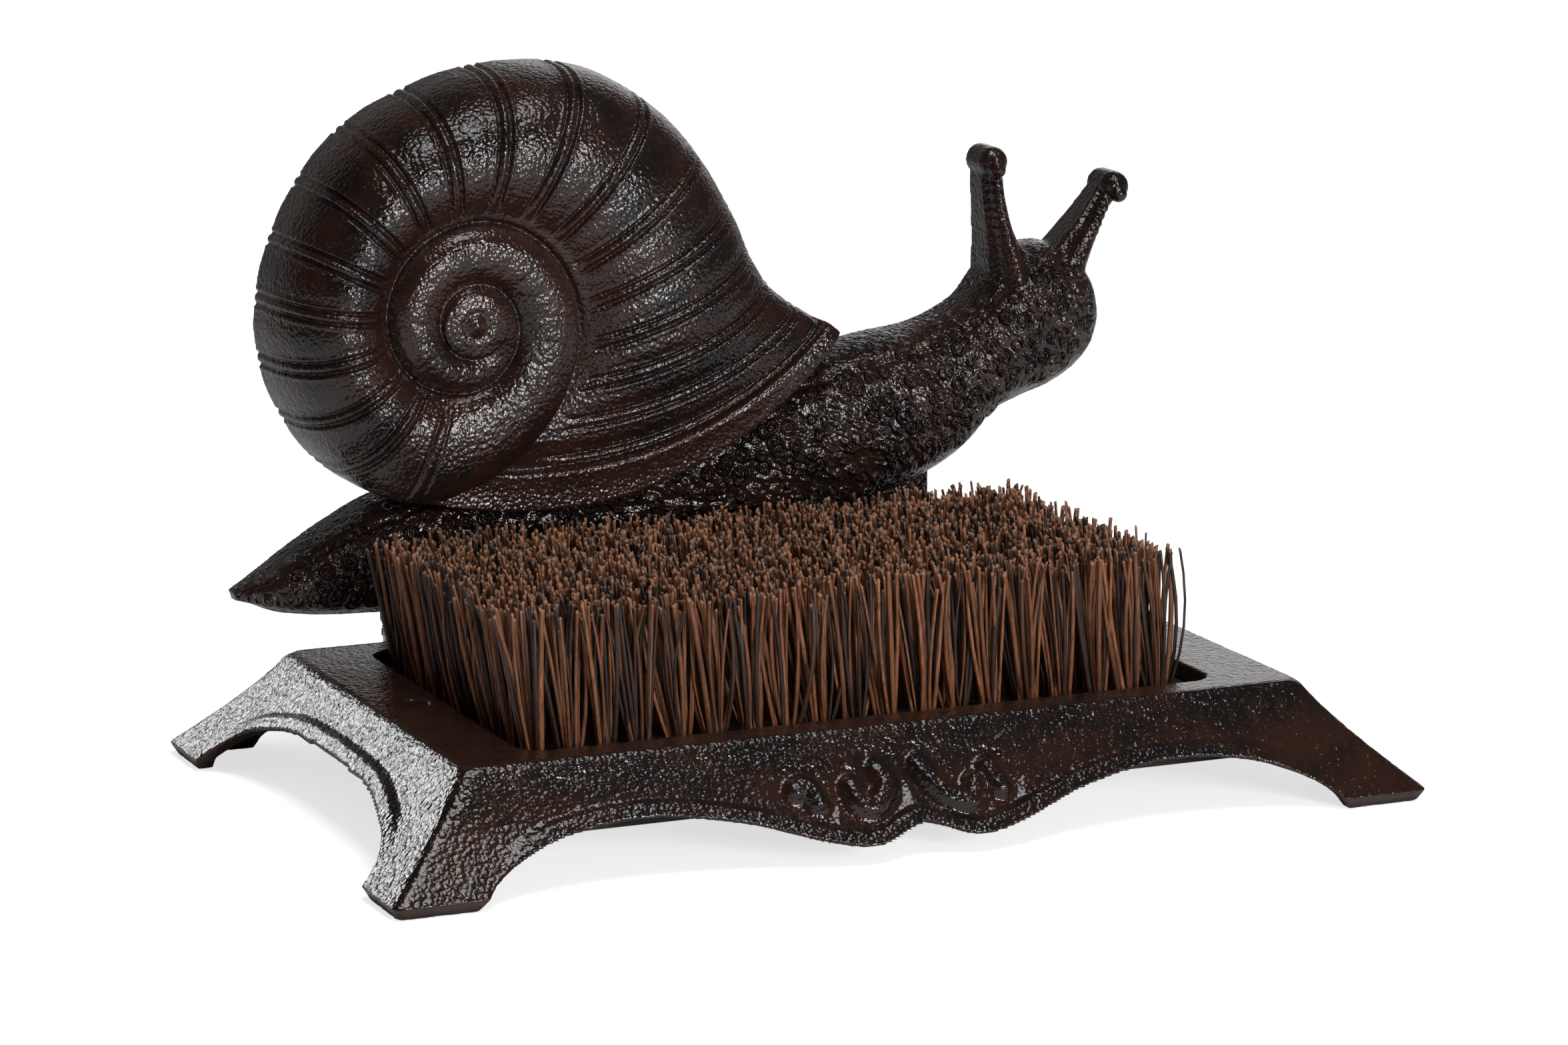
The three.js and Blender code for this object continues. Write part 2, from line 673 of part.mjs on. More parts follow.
function lastWhorlHollow() {
  const across = [-0.02, 0.2, 0.42, 0.62, 0.76, 0.86];
  const rings = [];
  for (let turn = SPIRE_END + 13; turn <= LIP_END - 20; turn += 15) {
    const front = across.map((t) => {
      const place = growthLine(turn, t);
      const depth = Math.max(whorlDepth(turn, Math.max(t, 0)) - GROOVE_DEPTH - SNAIL_WALL, 3);
      return vector(place.x, -depth, place.y);
    });
    const back = front.map((point) => vector(point.x, 2 * BACK_OVERRUN, point.z));
    rings.push([...front, ...back.reverse()]);
  }
  return loft(rings);
}

// One turn of the spire between two turns of the coil, rounded across
function spireTurn(from, to, rise) {
  const across = [0, 0.15, 0.35, 0.6, 0.8, 0.93, 1];
  const sections = 26;
  const rings = [];
  for (let i = 0; i <= sections; i += 1) {
    const turn = from + ((to - from) * i) / sections;
    const inner = coilPoint(turn - FULL_TURN);
    const outer = inner.clone().lerp(coilPoint(turn), SPIRE_INSET);
    const front = across.map((t) => {
      const place = inner.clone().lerp(outer, t);
      const round = (1 - Math.abs(2 * t - 1) ** 2.4) ** (1 / 2.4);
      return vector(place.x, -(SUTURE_DEPTH + (rise - SUTURE_DEPTH) * round), place.y);
    });
    const back = [outer, inner].map((place) => vector(place.x, BACK_OVERRUN, place.y));
    rings.push([...front, ...back]);
  }
  return loft(rings);
}

// Cone that fills the middle of the spire, where the coil is too tight for a section
function spireCore() {
  const radius = along(COIL_RADII, CORE_TURN);
  const depth = SUTURE_DEPTH + 1 + BACK_OVERRUN;
  const geometry = new THREE.CylinderGeometry(radius - 1, radius - 1, depth, 24)
    .translate(COIL_CENTRE_X, BACK_OVERRUN - depth / 2, COIL_CENTRE_Z);
  return solid(geometry);
}

function apexBead() {
  const geometry = new THREE.SphereGeometry(APEX_RADIUS, 14, 10)
    .translate(COIL_CENTRE_X, -SPIRE_CREST + 1.5, COIL_CENTRE_Z);
  return solid(geometry);
}

function spireHollow() {
  const radius = along(COIL_RADII, SPIRE_HOLLOW_TURN) + 2;
  const depth = SUTURE_DEPTH - SNAIL_WALL + BACK_OVERRUN;
  const geometry = new THREE.CylinderGeometry(radius, radius, depth, 24)
    .translate(COIL_CENTRE_X, BACK_OVERRUN - depth / 2, COIL_CENTRE_Z);
  return solid(geometry);
}

// Snail: head and lugs

// Tentacle as a fin that stands on the open back, with a round knob and an eye bead in front
function tentacle(sections) {
  const rings = sections.map(([x, z, halfWidth, depth], i) => {
    const [from, to] = [sections[Math.max(i - 1, 0)], sections[Math.min(i + 1, sections.length - 1)]];
    const run = new THREE.Vector2(to[0] - from[0], to[1] - from[1]).normalize();
    const across = new THREE.Vector2(run.y, -run.x).multiplyScalar(halfWidth);
    const corner = (side, y) => vector(x + side * across.x, -y, z + side * across.y);
    return [
      corner(-1, -BACK_OVERRUN), corner(-1, depth * 0.75), corner(-0.55, depth),
      corner(0.55, depth), corner(1, depth * 0.75), corner(1, -BACK_OVERRUN),
    ];
  });
  const [before, last] = sections.slice(-2);
  const heading = new THREE.Vector2(last[0] - before[0], last[1] - before[1]).normalize();
  const x = last[0] + heading.x * KNOB_LENGTH;
  const z = last[1] + heading.y * KNOB_LENGTH;
  const length = KNOB_DEPTH + BACK_OVERRUN;
  const back = new THREE.CylinderGeometry(KNOB_RADIUS, KNOB_RADIUS, length, 16)
    .translate(x, BACK_OVERRUN - length / 2, z);
  const front = new THREE.SphereGeometry(KNOB_RADIUS, 16, 10).translate(x, -KNOB_DEPTH, z);
  const eye = new THREE.SphereGeometry(EYE_RADIUS, 10, 7)
    .translate(x, -KNOB_DEPTH - KNOB_RADIUS * 0.85, z - 1);
  return join([loft(rings), solid(back), solid(front), solid(eye)]);
}

// Flat lug on the open back, down to the ear; the hand says to which end of the snail it belongs
function snailLug(x, hand, height) {
  const bottom = SEAT_GAP;
  const left = x - (hand < 0 ? LUG_OUTER_HALF_WIDTH : LUG_INNER_HALF_WIDTH);
  const right = x + (hand < 0 ? LUG_INNER_HALF_WIDTH : LUG_OUTER_HALF_WIDTH);
  const level = bottom + LUG_CORNER;
  const outline = new THREE.Shape();
  outline.moveTo(left, height);
  outline.lineTo(left, level);
  outline.absarc(left + LUG_CORNER, level, LUG_CORNER, Math.PI, 1.5 * Math.PI);
  outline.absarc(right - LUG_CORNER, level, LUG_CORNER, -0.5 * Math.PI, 0);
  outline.lineTo(right, height);
  outline.closePath();
  const web = new THREE.ExtrudeGeometry(outline, {
    depth: LUG_THICKNESS + BACK_OVERRUN, bevelEnabled: false, curveSegments: 5,
  }).rotateX(Math.PI / 2).translate(0, BACK_OVERRUN, 0);
  return solid(web);
}

function lugFlange(x) {
  const rootY = snailBackY - LUG_THICKNESS / 2;
  const outline = earOutline(x, rootY, FOOT_FLANGE_RADIUS + 0.5, FOOT_FLANGE_RADIUS);
  const flange = plate(outline, SEAT_GAP, SEAT_GAP + FOOT_FLANGE_THICKNESS);
  return flange.translate([0, -snailBackY, 0]);
}

function snail() {
  const skin = join([
    snailBody(),
    lastWhorl(),
    spireTurn(SPIRE_END - SPIRE_SPAN, SPIRE_END, SPIRE_CREST - 2),
    spireTurn(...INNER_SPIRE, SPIRE_CREST),
    spireCore(),
    apexBead(),
  ]);
  const underShell = bodyHollow(...MEETING_HOLLOW, 4)
    .scale([1, HOLLOW_STEP, 1])
    .translate([0, 0, 2 * SNAIL_WALL]);
  const hollows = [bodyHollow(...BODY_HOLLOW, 18), underShell, lastWhorlHollow()];
  const hollowed = cut(skin, [...hollows, spireHollow()]);
  const casting = join([
    hollowed,
    tentacle(LEFT_TENTACLE),
    tentacle(RIGHT_TENTACLE),
    snailLug(LEFT_LUG_X, -1, LEFT_LUG_HEIGHT),
    snailLug(RIGHT_LUG_X, 1, RIGHT_LUG_HEIGHT),
  ]);
  const behind = box(2 * FAR, FAR, 2 * FAR, 0, FAR / 2, 0);
  const flanges = Object.values(lugXs).map((x) => lugFlange(x));
  const figure = join([cut(casting, [behind]), ...flanges])
    .translate([0, snailBackY, FRAME_HEIGHT]);
  return cut(figure, Object.values(lugXs).map((x) => boltHole(x, 0, FRAME_HEIGHT + 10)));
}

// Brush

function boardHalfLength() {
  return RIM_HALF_LENGTH - BOARD_END_CLEARANCE;
}

function boardHalfWidth() {
  return OPENING_HALF_WIDTH + BOARD_OVERLAP;
}

function screwHoles() {
  return [-1, 1].map((side) => column(
    SCREW_SHANK_RADIUS + SCREW_CLEARANCE,
    FRAME_HEIGHT - SCREW_LENGTH - SCREW_CLEARANCE,
    FRAME_HEIGHT,
    side * screwX,
    0,
  ));
}

function brushBoard() {
  const top = layerBottom - SEAT_GAP;
  const board = box(2 * boardHalfLength(), 2 * boardHalfWidth(), BOARD_THICKNESS,
    0, 0, top - BOARD_THICKNESS / 2);
  return cut(board, screwHoles());
}

// Even spread between 0 and 1 that looks random and is the same each time
function scatter(seed) {
  const value = Math.sin(seed * 127.1 + 11.7) * 43758.5453;
  return value - Math.floor(value);
}

// One fibre: a three-sided rod from inside the layer to its tip
function strand(root, tip, turn) {
  const corner = (centre, i) => {
    const angle = turn + (i / 3) * 2 * Math.PI;
    return vector(
      centre.x + STRAND_RADIUS * Math.cos(angle),
      centre.y + STRAND_RADIUS * Math.sin(angle),
      centre.z,
    );
  };
  return loft([root, tip].map((centre) => [0, 1, 2].map((i) => corner(centre, i))));
}

// Strands of one tuft spread from their root without crossing
function tuft(x, y, seed) {
  const strands = [];
  const spin = scatter(seed) * 2 * Math.PI;
  for (let i = 0; i < STRANDS_PER_TUFT; i += 1) {
    const angle = spin + (i / STRANDS_PER_TUFT) * 2 * Math.PI;
    const across = new THREE.Vector2(Math.cos(angle), Math.sin(angle));
    const reach = STRAND_REACH + STRAND_UNEVENNESS * (2 * scatter(seed * 3.7 + i) - 1);
    const spread = TUFT_TIP_RADIUS;
    const root = vector(x + TUFT_ROOT_RADIUS * across.x, y + TUFT_ROOT_RADIUS * across.y,
      boardTop - BRISTLE_LAYER / 2);
    const tip = vector(x + STRAND_LEAN + spread * across.x, y + spread * across.y,
      FRAME_HEIGHT + reach);
    strands.push(strand(root, tip, angle));
  }
  return strands;
}

function tuftX(place) {
  const last = TUFTS_PER_SECTION * BRISTLE_SECTIONS - 1;
  return ((2 * place) / last - 1) * (OPENING_HALF_LENGTH - BRISTLE_MARGIN_LENGTH);
}

function tuftY(row) {
  return ((2 * row) / (TUFT_ROWS - 1) - 1) * (OPENING_HALF_WIDTH - BRISTLE_MARGIN_WIDTH);
}

// The layer is split half way between tufts; its ends are those of the board
function sectionEdge(index) {
  if (index === 0) return -boardHalfLength();
  if (index === BRISTLE_SECTIONS) return boardHalfLength();
  const place = index * TUFTS_PER_SECTION;
  return (tuftX(place - 1) + tuftX(place)) / 2;
}

function bristleSection(index) {
  const from = sectionEdge(index);
  const to = sectionEdge(index + 1);
  const layer = box(to - from - SEAT_GAP, 2 * boardHalfWidth(), BRISTLE_LAYER,
    (from + to) / 2, 0, boardTop - BRISTLE_LAYER / 2);
  const strands = [];
  for (let i = 0; i < TUFTS_PER_SECTION; i += 1) {
    const place = index * TUFTS_PER_SECTION + i;
    for (let row = 0; row < TUFT_ROWS; row += 1) {
      strands.push(...tuft(tuftX(place), tuftY(row), place * TUFT_ROWS + row + 1));
    }
  }
  return cut(join([layer, ...strands]), screwHoles());
}

// Fasteners

function brushScrew(side) {
  const x = side * screwX;
  const top = FRAME_HEIGHT - SCREW_CLEARANCE;
  const headLow = top - SCREW_HEAD_HEIGHT;
  const slot = box(2 * SCREW_HEAD_RADIUS, 1.1, 2, x, 0, top);
  const head = column(SCREW_SHANK_RADIUS, headLow, top, x, 0, 24, SCREW_HEAD_RADIUS);
  const pointLow = FRAME_HEIGHT - SCREW_LENGTH;
  const shank = column(SCREW_SHANK_RADIUS, pointLow + 3, headLow + 0.5, x, 0);
  const point = column(0.5, pointLow, pointLow + 3.01, x, 0, 24, SCREW_SHANK_RADIUS);
  return cut(join([head, shank, point]), [slot]);
}

function hexagon(low, high, x, y) {
  const corner = HEX_ACROSS_FLATS / Math.sqrt(3);
  return column(corner, low, high, x, y, 6);
}

function stackLevels() {
  const flangeTop = FRAME_HEIGHT + SEAT_GAP + FOOT_FLANGE_THICKNESS;
  const upperWasher = flangeTop + SEAT_GAP;
  const head = upperWasher + WASHER_THICKNESS + SEAT_GAP;
  const lowerWasher = FRAME_HEIGHT - EAR_THICKNESS - SEAT_GAP;
  const nut = lowerWasher - WASHER_THICKNESS - SEAT_GAP;
  return { upperWasher, head, lowerWasher, nut };
}

function snailBolt(x) {
  const { head, nut } = stackLevels();
  return join([
    hexagon(head, head + BOLT_HEAD_HEIGHT, x, boltY),
    column(BOLT_RADIUS, nut - NUT_HEIGHT - BOLT_POINT, head + 1, x, boltY),
  ]);
}

function washer(x, low) {
  const hole = boltHole(x, low - 1, low + WASHER_THICKNESS + 1);
  return cut(column(WASHER_RADIUS, low, low + WASHER_THICKNESS, x, boltY, 32), [hole]);
}

function snailNut(x) {
  const { nut } = stackLevels();
  const hole = boltHole(x, nut - NUT_HEIGHT - 1, nut + 1);
  return cut(hexagon(nut - NUT_HEIGHT, nut, x, boltY), [hole]);
}

// The whole door mat

function doorMat() {
  const mat = new THREE.Group();
  mat.add(part('base_frame', baseFrame(), materials.iron));
  mat.add(part('snail_figure', snail(), materials.iron));
  mat.add(part('brush_board', brushBoard(), materials.wood));
  for (let i = 0; i < BRISTLE_SECTIONS; i += 1) {
    mat.add(part(`bristles_${i + 1}`, bristleSection(i), materials.fibre));
  }
  for (const [name, side] of [['left', -1], ['right', 1]]) {
    mat.add(part(`brush_screw_${name}`, brushScrew(side), materials.steel));
  }
  for (const [name, x] of Object.entries(lugXs)) {
    const { upperWasher, lowerWasher } = stackLevels();
    mat.add(part(`snail_bolt_${name}`, snailBolt(x), materials.steel));
    mat.add(part(`upper_washer_${name}`, washer(x, upperWasher), materials.steel));
    mat.add(part(`lower_washer_${name}`, washer(x, lowerWasher - WASHER_THICKNESS), materials.steel));
    mat.add(part(`snail_nut_${name}`, snailNut(x), materials.steel));
  }
  return mat;
}

export default doorMat();
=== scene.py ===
"""Cast iron door mat with a boot brush and a snail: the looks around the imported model."""

import math

import bmesh
import bpy
import numpy as np
from bpy.props import FloatProperty, FloatVectorProperty, IntProperty, PointerProperty
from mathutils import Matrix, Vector, kdtree
from mathutils.bvhtree import BVHTree


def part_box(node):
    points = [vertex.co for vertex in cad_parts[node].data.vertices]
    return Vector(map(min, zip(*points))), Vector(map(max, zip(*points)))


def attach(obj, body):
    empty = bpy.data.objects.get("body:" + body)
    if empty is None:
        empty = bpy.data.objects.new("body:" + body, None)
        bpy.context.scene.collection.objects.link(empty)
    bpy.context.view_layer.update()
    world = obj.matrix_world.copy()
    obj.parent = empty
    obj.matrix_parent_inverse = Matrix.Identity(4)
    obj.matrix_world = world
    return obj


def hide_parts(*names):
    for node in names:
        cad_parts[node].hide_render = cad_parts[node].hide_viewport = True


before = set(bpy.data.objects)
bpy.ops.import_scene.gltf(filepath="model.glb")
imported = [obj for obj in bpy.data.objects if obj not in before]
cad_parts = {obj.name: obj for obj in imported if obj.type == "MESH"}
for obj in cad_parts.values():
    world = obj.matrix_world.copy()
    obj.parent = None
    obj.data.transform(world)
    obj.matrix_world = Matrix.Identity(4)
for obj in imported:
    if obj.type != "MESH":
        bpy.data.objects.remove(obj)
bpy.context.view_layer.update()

bl_info = {
    "name": "Cast Iron Door Mat",
    "version": (1, 0, 0),
    "blender": (4, 5, 0),
    "location": "View3D > Sidebar > Door Mat",
    "description": "Builds the castings, the brush and the stage of a cast iron boot brush",
    "category": "Object",
}

MM = 0.001

# Lengths are millimetres, and metres where a comment says so and in the settings

# Base frame
FRAME_HEIGHT = 33
RIM_HALF_LENGTH = 127
RIM_HALF_WIDTH = 74.6
FLARE_LENGTH = 28.5
FLARE_WIDTH = 24.5
FLARE_CURVE = 1.2
TOE_HEIGHT = 3.5
TOE_UNDERCUT = 2
FRAME_WALL = 5
RIM_CHAMFER = 1.4
SKIRT_CORNER = 2.5
OPENING_HALF_LENGTH = 105.3
OPENING_HALF_WIDTH = 63.7
OPENING_CORNER = 8
OPENING_LEVELS = (20, 40)
FOOT_LENGTH = 24
FOOT_WIDTH = 22
ARCH_RISE = 16.8
ARCH_TOP_FROM_FOOT = 47
END_ARCH_RISE = 20
LOBE_LEVEL = 5.2
LOBE_OFFSET = 19
CUSP_LEVEL = 9.2
ARCH_FOOT = -2
CUT_FLOOR = -4
CUT_REACH = 240
SCREW_X = 114.15
SINK_RADIUS = 5.2
SINK_DEPTH = 3.2
EAR_THICKNESS = 6
EAR_TIP_RADIUS = 9
EAR_ROOT_HALF_WIDTH = 16
FRAME_ROUNDING = 14
# Size of the clouds in the cast skin, metres
FRAME_SKIN_SIZE = 0.0022
# Reliefs on the sloping sides
SIDE_SLOPE = 0.35
SLOPE_STRETCH = 1.25
BORDER_EDGE = (3.4, 6.4)
LONG_BORDER_END = (106, 124)
LONG_SIDE_END = 150
END_BORDER_END = (52, 70)
BAND_LEVELS = (18, 27)
END_BAND_LEVELS = (22, 26)
CORNER_FADE = (1, 6)
SCROLL_HALF_WIDTH = 2.9
SCROLL_REACH = (46, 28)
VALLEY_AWAY = 5
VALLEY_WIDTH = 1.6
VALLEY_DEPTH = 0.25
SCROLL_STROKES = (
    ((-34.5, 19.5), (-31.5, 20), (-29, 16.5)),
    ((-18, 19), (-17, 15.2), (-12.5, 14.4), (-8, 18), (-9, 22.5)),
    ((3.5, 22.5), (6.4, 17.7), (11, 14), (16, 13.4), (18.6, 17)),
    ((23.5, 20), (25.5, 15.5)),
)

# Snail: x along it, z up from the rim, y = 0 at its open back
SNAIL_BACK_Y = 85
EDGE_LAND = 2.5
LUG_XS = (-81.5, 70)
BOLT_Y = 90.6
SEAT_GAP = 0.3
LUG_ARMS = (12.5, 20)
LUG_HEIGHTS = (16, 39)
LUG_CORNER = 5
LUG_THICKNESS = 4
FLANGE_RADIUS = 7.5
FLANGE_ROOT = 8
FLANGE_THICKNESS = 4.5
# Each station of the body: x and z of its top, x and z of its foot, depth
BODY_STATIONS = (
    (-140.5, 17.5, -139.5, 14.8, 5),
    (-133, 22.3, -129, 12.3, 15),
    (-124, 28.4, -117, 10.6, 20),
    (-111, 36.2, -103, 9.8, 23),
    (-95, 43.5, -85, 10, 24),
    (-60, 53, -50, 13, 24),
    (0, 67, 10, 20, 26),
    (53, 78.5, 60, 31, 27),
    (76, 82, 86, 41.5, 26),
    (91, 88.5, 98, 53.5, 26),
    (98.5, 97, 109, 58.5, 26),
    (108, 103, 120, 62, 25),
    (120, 104.5, 129.5, 68, 23),
    (129, 99, 134, 76.5, 18),
    (133, 91, 135, 84, 10),
)
BODY_ROUNDNESS = 2.5
# Lines along the body: angle from its top to its foot in radians, and width
BODY_CREASE = (0.80, 0.07)
BODY_SOLE = (2.86, 0.09)
BODY_LINE_DEPTH = 0.9
BODY_STEP = 0.5
# Where the warts come and go: by that angle, and by the number of the station
WART_ANGLES = ((0.80, 0.95), (2.75, 2.95))
WART_STATIONS = ((0.25, 1.2), (12.9, 13.9))
WART_CORE = 0.9
WART_RING = 2.1
WART_JITTER = 0.34
# Coil of the shell: radii of its outline by turn in degrees, less towards the middle
COIL_CENTRE = (-77, 97)
LIP_ANGLE = -7
COIL_RADII = (
    (0, 122), (-8, 102), (-24, 93.3), (-42, 88.8), (-61, 83.2), (-82, 73.2), (-104, 64.8),
    (-126, 60), (-149, 55.5), (-171, 53.8), (-216, 54.8), (-251, 56), (-278, 48.5),
    (-313, 39.6), (-365, 33.6), (-457, 29), (-550, 25), (-630, 20), (-720, 14), (-817, 12),
    (-907, 10.6), (-997, 9.6), (-1090, 9.3), (-1450, 9.3),
)
SPIRE_END = -268
WHORL_LAP = 4
SPIRE_INSET = 0.988
SPIRE_START = -1000
RING_TURN = -640
DOME_RADIUS = 9.6
DOME_SPREAD = 14
DOME_FOOT = 36.5
DOME_RISE = 3.8
BOSS_RISE = 0.7
BOSS_RADIUS = 1.7
BOSS_RING_RADIUS = 3.6
BOSS_RING_DEPTH = 0.5
LIP_END = 100
SHELL_CREST = 40
SHELL_LIP_DEPTH = 29
SUTURE_DEPTH = 33
SUTURE_STEP = 1.3
SUTURE_FADE = (560, 700)
DOME_BLEND = 85
WHORL_BLEND = 34
WHORL_DROP = 36
WHORL_TUCK = -0.08
LIP_TURNS = (0, 90)
LIP_SWELL = 2
LIP_DROP = 4
LIP_STEP = 0.6
RIB_DEPTH = 0.2
RIB_WIDTH = 1.6
SPIRE_CREST = 41
WHORL_CREST = 0.4
WHORL_ROUNDNESS = 2.3
GROOVE_PITCH = 19
GROOVE_SPREAD = 1.7
GROOVE_WIDTH = 0.5
GROOVE_EDGE = 1.0
EDGE_SHARE = 0.28
SWELL_START = 0.9
SUTURE_LEDGE = 0.7
SEAM_DEPTH = 0.9
LIP_BAND = 28
LIP_BAND_RISE = 1.7
LIP_SAG = 0.148
GROWTH_LAG = 28
# Each section of a tentacle: x, z, half width, depth
LEFT_TENTACLE = (
    (105.6, 92, 7.6, 23), (104.3, 101, 6.1, 21), (102.8, 109, 4.4, 18), (101.8, 118, 3.7, 15),
    (101.3, 127, 3.5, 13),
)
RIGHT_TENTACLE = (
    (122.3, 93, 7.4, 22), (127.3, 101, 5.7, 20), (132.3, 108, 4.1, 17), (136.9, 114, 3.4, 14),
    (140.2, 118, 3.3, 12),
)
KNOB_RADIUS = 4.6
KNOB_LENGTH = 3.4
KNOB_DEPTH = 9
EYE_RADIUS = 2.6
RIDGE_START = 0.74
RIDGE_WIDTH = 0.6
BEAD_PITCH = 2.6
BEAD_SWELL = 0.02
SNAIL_ROUNDING = 2
ROOT_ROUNDING = 120
ROOT_REACH = (4, 11)
ROOT_LEVELS = (-3, -1)
# Size of the clouds in the cast skin and their height, metres
SNAIL_SKIN = (0.0026, 0.00022)
HOLLOW_STEP = 0.75
HOLLOW_XS = (-146, 150)
HOLLOW_ZS = (0, 172)
# How rough each part is cast, from 0 to 1
SHELL_ROUGH, BODY_ROUGH, HEAD_ROUGH, LUG_ROUGH = 0.15, 0.42, 0.45, 0.5

# Brush
BOARD_HALF = (122, 66)
BOARD_CORNER = 2
BOARD_TOP = 27.7
LAYER_THICKNESS = 3.7
TUFT_XS = (-97, 95)
TUFT_YS = (-48, 50)
TUFT_RADIUS = 3.0
TUFT_SPREAD = 0.78
ROOT_SINK = 2
BRUSH_LEAN = 3.5
TIP_CLEARANCE = 0.6
RADIUS_LIMITS = (0.32, 1.0)
# Spreads of the random draws: place of a tuft, place and height of a tip, bend, radius
TUFT_SCATTER, TIP_SCATTER, HEIGHT_SCATTER, BEND_SCATTER, RADIUS_SCATTER = 1.0, 1.3, 2.1, 1.2, 0.14
FIBRE_STEPS = (0, 0.14, 0.3, 0.48, 0.66, 0.84, 0.975, 1)
FIBRE_SIDES = 6
FIBRE_TAPER = 0.18
FIBRE_FLATNESS = 0.8

# Stage, metres: place, aim and size of each lamp
LAMPS = {
    "front": ((0.35, -1.75, 0.52), (0, 0, 0.08), (0.5, 0.5)),
    "top": ((0, -0.35, 1.45), (0, 0, 0.08), (0.7, 0.7)),
    "side": ((-0.34, 0.54, 0.21), (-0.15, 0, 0.02), (0.26, 0.2)),
}
CAMERA_AIM = (-0.00098, 0, 0.075)
FLOOR_HALF_SIZE = 9
FLOOR_GLOW = 0.7
WORLD_DIM = 0.22
# Bevels of the wooden back and of the fasteners, metres
WOOD_EDGE, STEEL_EDGE = 0.0008, 0.00015


class FrameSizes(bpy.types.PropertyGroup):
    """Relief of the base frame."""

    border: FloatProperty(name="Border", description="Height of the border along the arches",
                          default=0.0012, unit="LENGTH")
    band: FloatProperty(name="Band", description="Height of the band below the rim",
                        default=0.0005, unit="LENGTH")
    scroll: FloatProperty(name="Scroll", description="Height of the scrolls on the front",
                          default=0.0026, unit="LENGTH")
    skin: FloatProperty(name="Skin", description="Unevenness of the sand cast skin",
                        default=0.00028, unit="LENGTH")
    voxel: FloatProperty(name="Voxel", description="Size of the faces of the casting",
                         default=0.00045, unit="LENGTH")


class SnailSizes(bpy.types.PropertyGroup):
    """Relief of the snail."""

    groove: FloatProperty(name="Groove", description="Depth of the growth grooves",
                          default=0.0015, unit="LENGTH")
    swell: FloatProperty(name="Swell", description="Rise of the shell between its grooves",
                         default=0.00045, unit="LENGTH")
    wart: FloatProperty(name="Wart", description="Height of the warts on the body",
                        default=0.0013, unit="LENGTH")
    wart_spacing: FloatProperty(name="Wart spacing", description="Distance between warts",
                                default=0.0053, unit="LENGTH")
    wall: FloatProperty(name="Wall", description="Least wall of the hollow casting",
                        default=0.002, unit="LENGTH")
    voxel: FloatProperty(name="Voxel", description="Size of the faces of the casting",
                         default=0.00038, unit="LENGTH")


class BrushSizes(bpy.types.PropertyGroup):
    """Fibres of the brush."""

    tufts_long: IntProperty(name="Tufts long", description="Tufts along the brush", default=19)
    tufts_wide: IntProperty(name="Tufts wide", description="Tufts across the brush", default=11)
    fibres: IntProperty(name="Fibres", description="Fibres in each tuft", default=25)
    radius: FloatProperty(name="Radius", description="Mean radius of a fibre",
                          default=0.00062, unit="LENGTH")
    reach: FloatProperty(name="Reach", description="Height of the tips above the rim",
                         default=0.0345, unit="LENGTH")


class Finishes(bpy.types.PropertyGroup):
    """Colours of the finishes."""

    iron_brown: FloatVectorProperty(name="Iron brown", description="Smooth lacquered iron",
                                    subtype="COLOR", default=(0.03, 0.0125, 0.008))
    iron_black: FloatVectorProperty(name="Iron black", description="Rough raised iron",
                                    subtype="COLOR", default=(0.0075, 0.0063, 0.006))
    fibre_copper: FloatVectorProperty(name="Copper fibre", description="Lighter fibres",
                                      subtype="COLOR", default=(0.225, 0.082, 0.034))
    fibre_dark: FloatVectorProperty(name="Dark fibre", description="Darker fibres",
                                    subtype="COLOR", default=(0.022, 0.014, 0.012))
    fibre_tip: FloatVectorProperty(name="Fibre tip", description="Cut ends of the fibres",
                                   subtype="COLOR", default=(0.31, 0.163, 0.094))
    wood: FloatVectorProperty(name="Wood", description="Stained wooden back",
                              subtype="COLOR", default=(0.035, 0.022, 0.015))
    steel: FloatVectorProperty(name="Steel", description="Blackened fasteners",
                               subtype="COLOR", default=(0.09, 0.085, 0.08))


class StageSettings(bpy.types.PropertyGroup):
    """Floor, lights and camera."""

    floor: FloatVectorProperty(name="Floor", description="Colour of the floor",
                               subtype="COLOR", default=(0.9, 0.9, 0.9))
    front: FloatProperty(name="Front", description="Power of the soft light in front",
                         default=17.5, unit="POWER")
    top: FloatProperty(name="Top", description="Power of the soft light overhead",
                       default=9, unit="POWER")
    side: FloatProperty(name="Side", description="Power of the small light on the left end",
                        default=1.1, unit="POWER")
    azimuth: FloatProperty(name="Azimuth", description="Turn of the camera round the mat",
                           default=math.radians(-23.65), subtype="ANGLE")
    elevation: FloatProperty(name="Elevation", description="Height of the camera as an angle",
                             default=math.radians(11.92), subtype="ANGLE")
    distance: FloatProperty(name="Distance", description="From the camera to its aim",
                            default=1.5256, unit="LENGTH")
    lens: FloatProperty(name="Lens", description="Focal length", default=122.45, unit="CAMERA")


# Curves and meshes


def along(rows, position, field=1):
    """Smooth value between rows of (position, value, ...)."""
    table = np.array([(row[0], row[field]) for row in rows], float)
    table = table[np.argsort(table[:, 0])]
    places, values = table[:, 0], table[:, 1]
    index = np.arange(len(places))
    low, high = np.maximum(index - 1, 0), np.minimum(index + 1, len(places) - 1)
    slopes = (values[high] - values[low]) / (places[high] - places[low])
    clamped = np.clip(position, places[0], places[-1])
    i = np.clip(np.searchsorted(places, clamped) - 1, 0, len(places) - 2)
    span = places[i + 1] - places[i]
    t = (clamped - places[i]) / span
    t2, t3 = t * t, t * t * t
    return ((2 * t3 - 3 * t2 + 1) * values[i] + (t3 - 2 * t2 + t) * slopes[i] * span
            + (3 * t2 - 2 * t3) * values[i + 1] + (t3 - t2) * slopes[i + 1] * span)


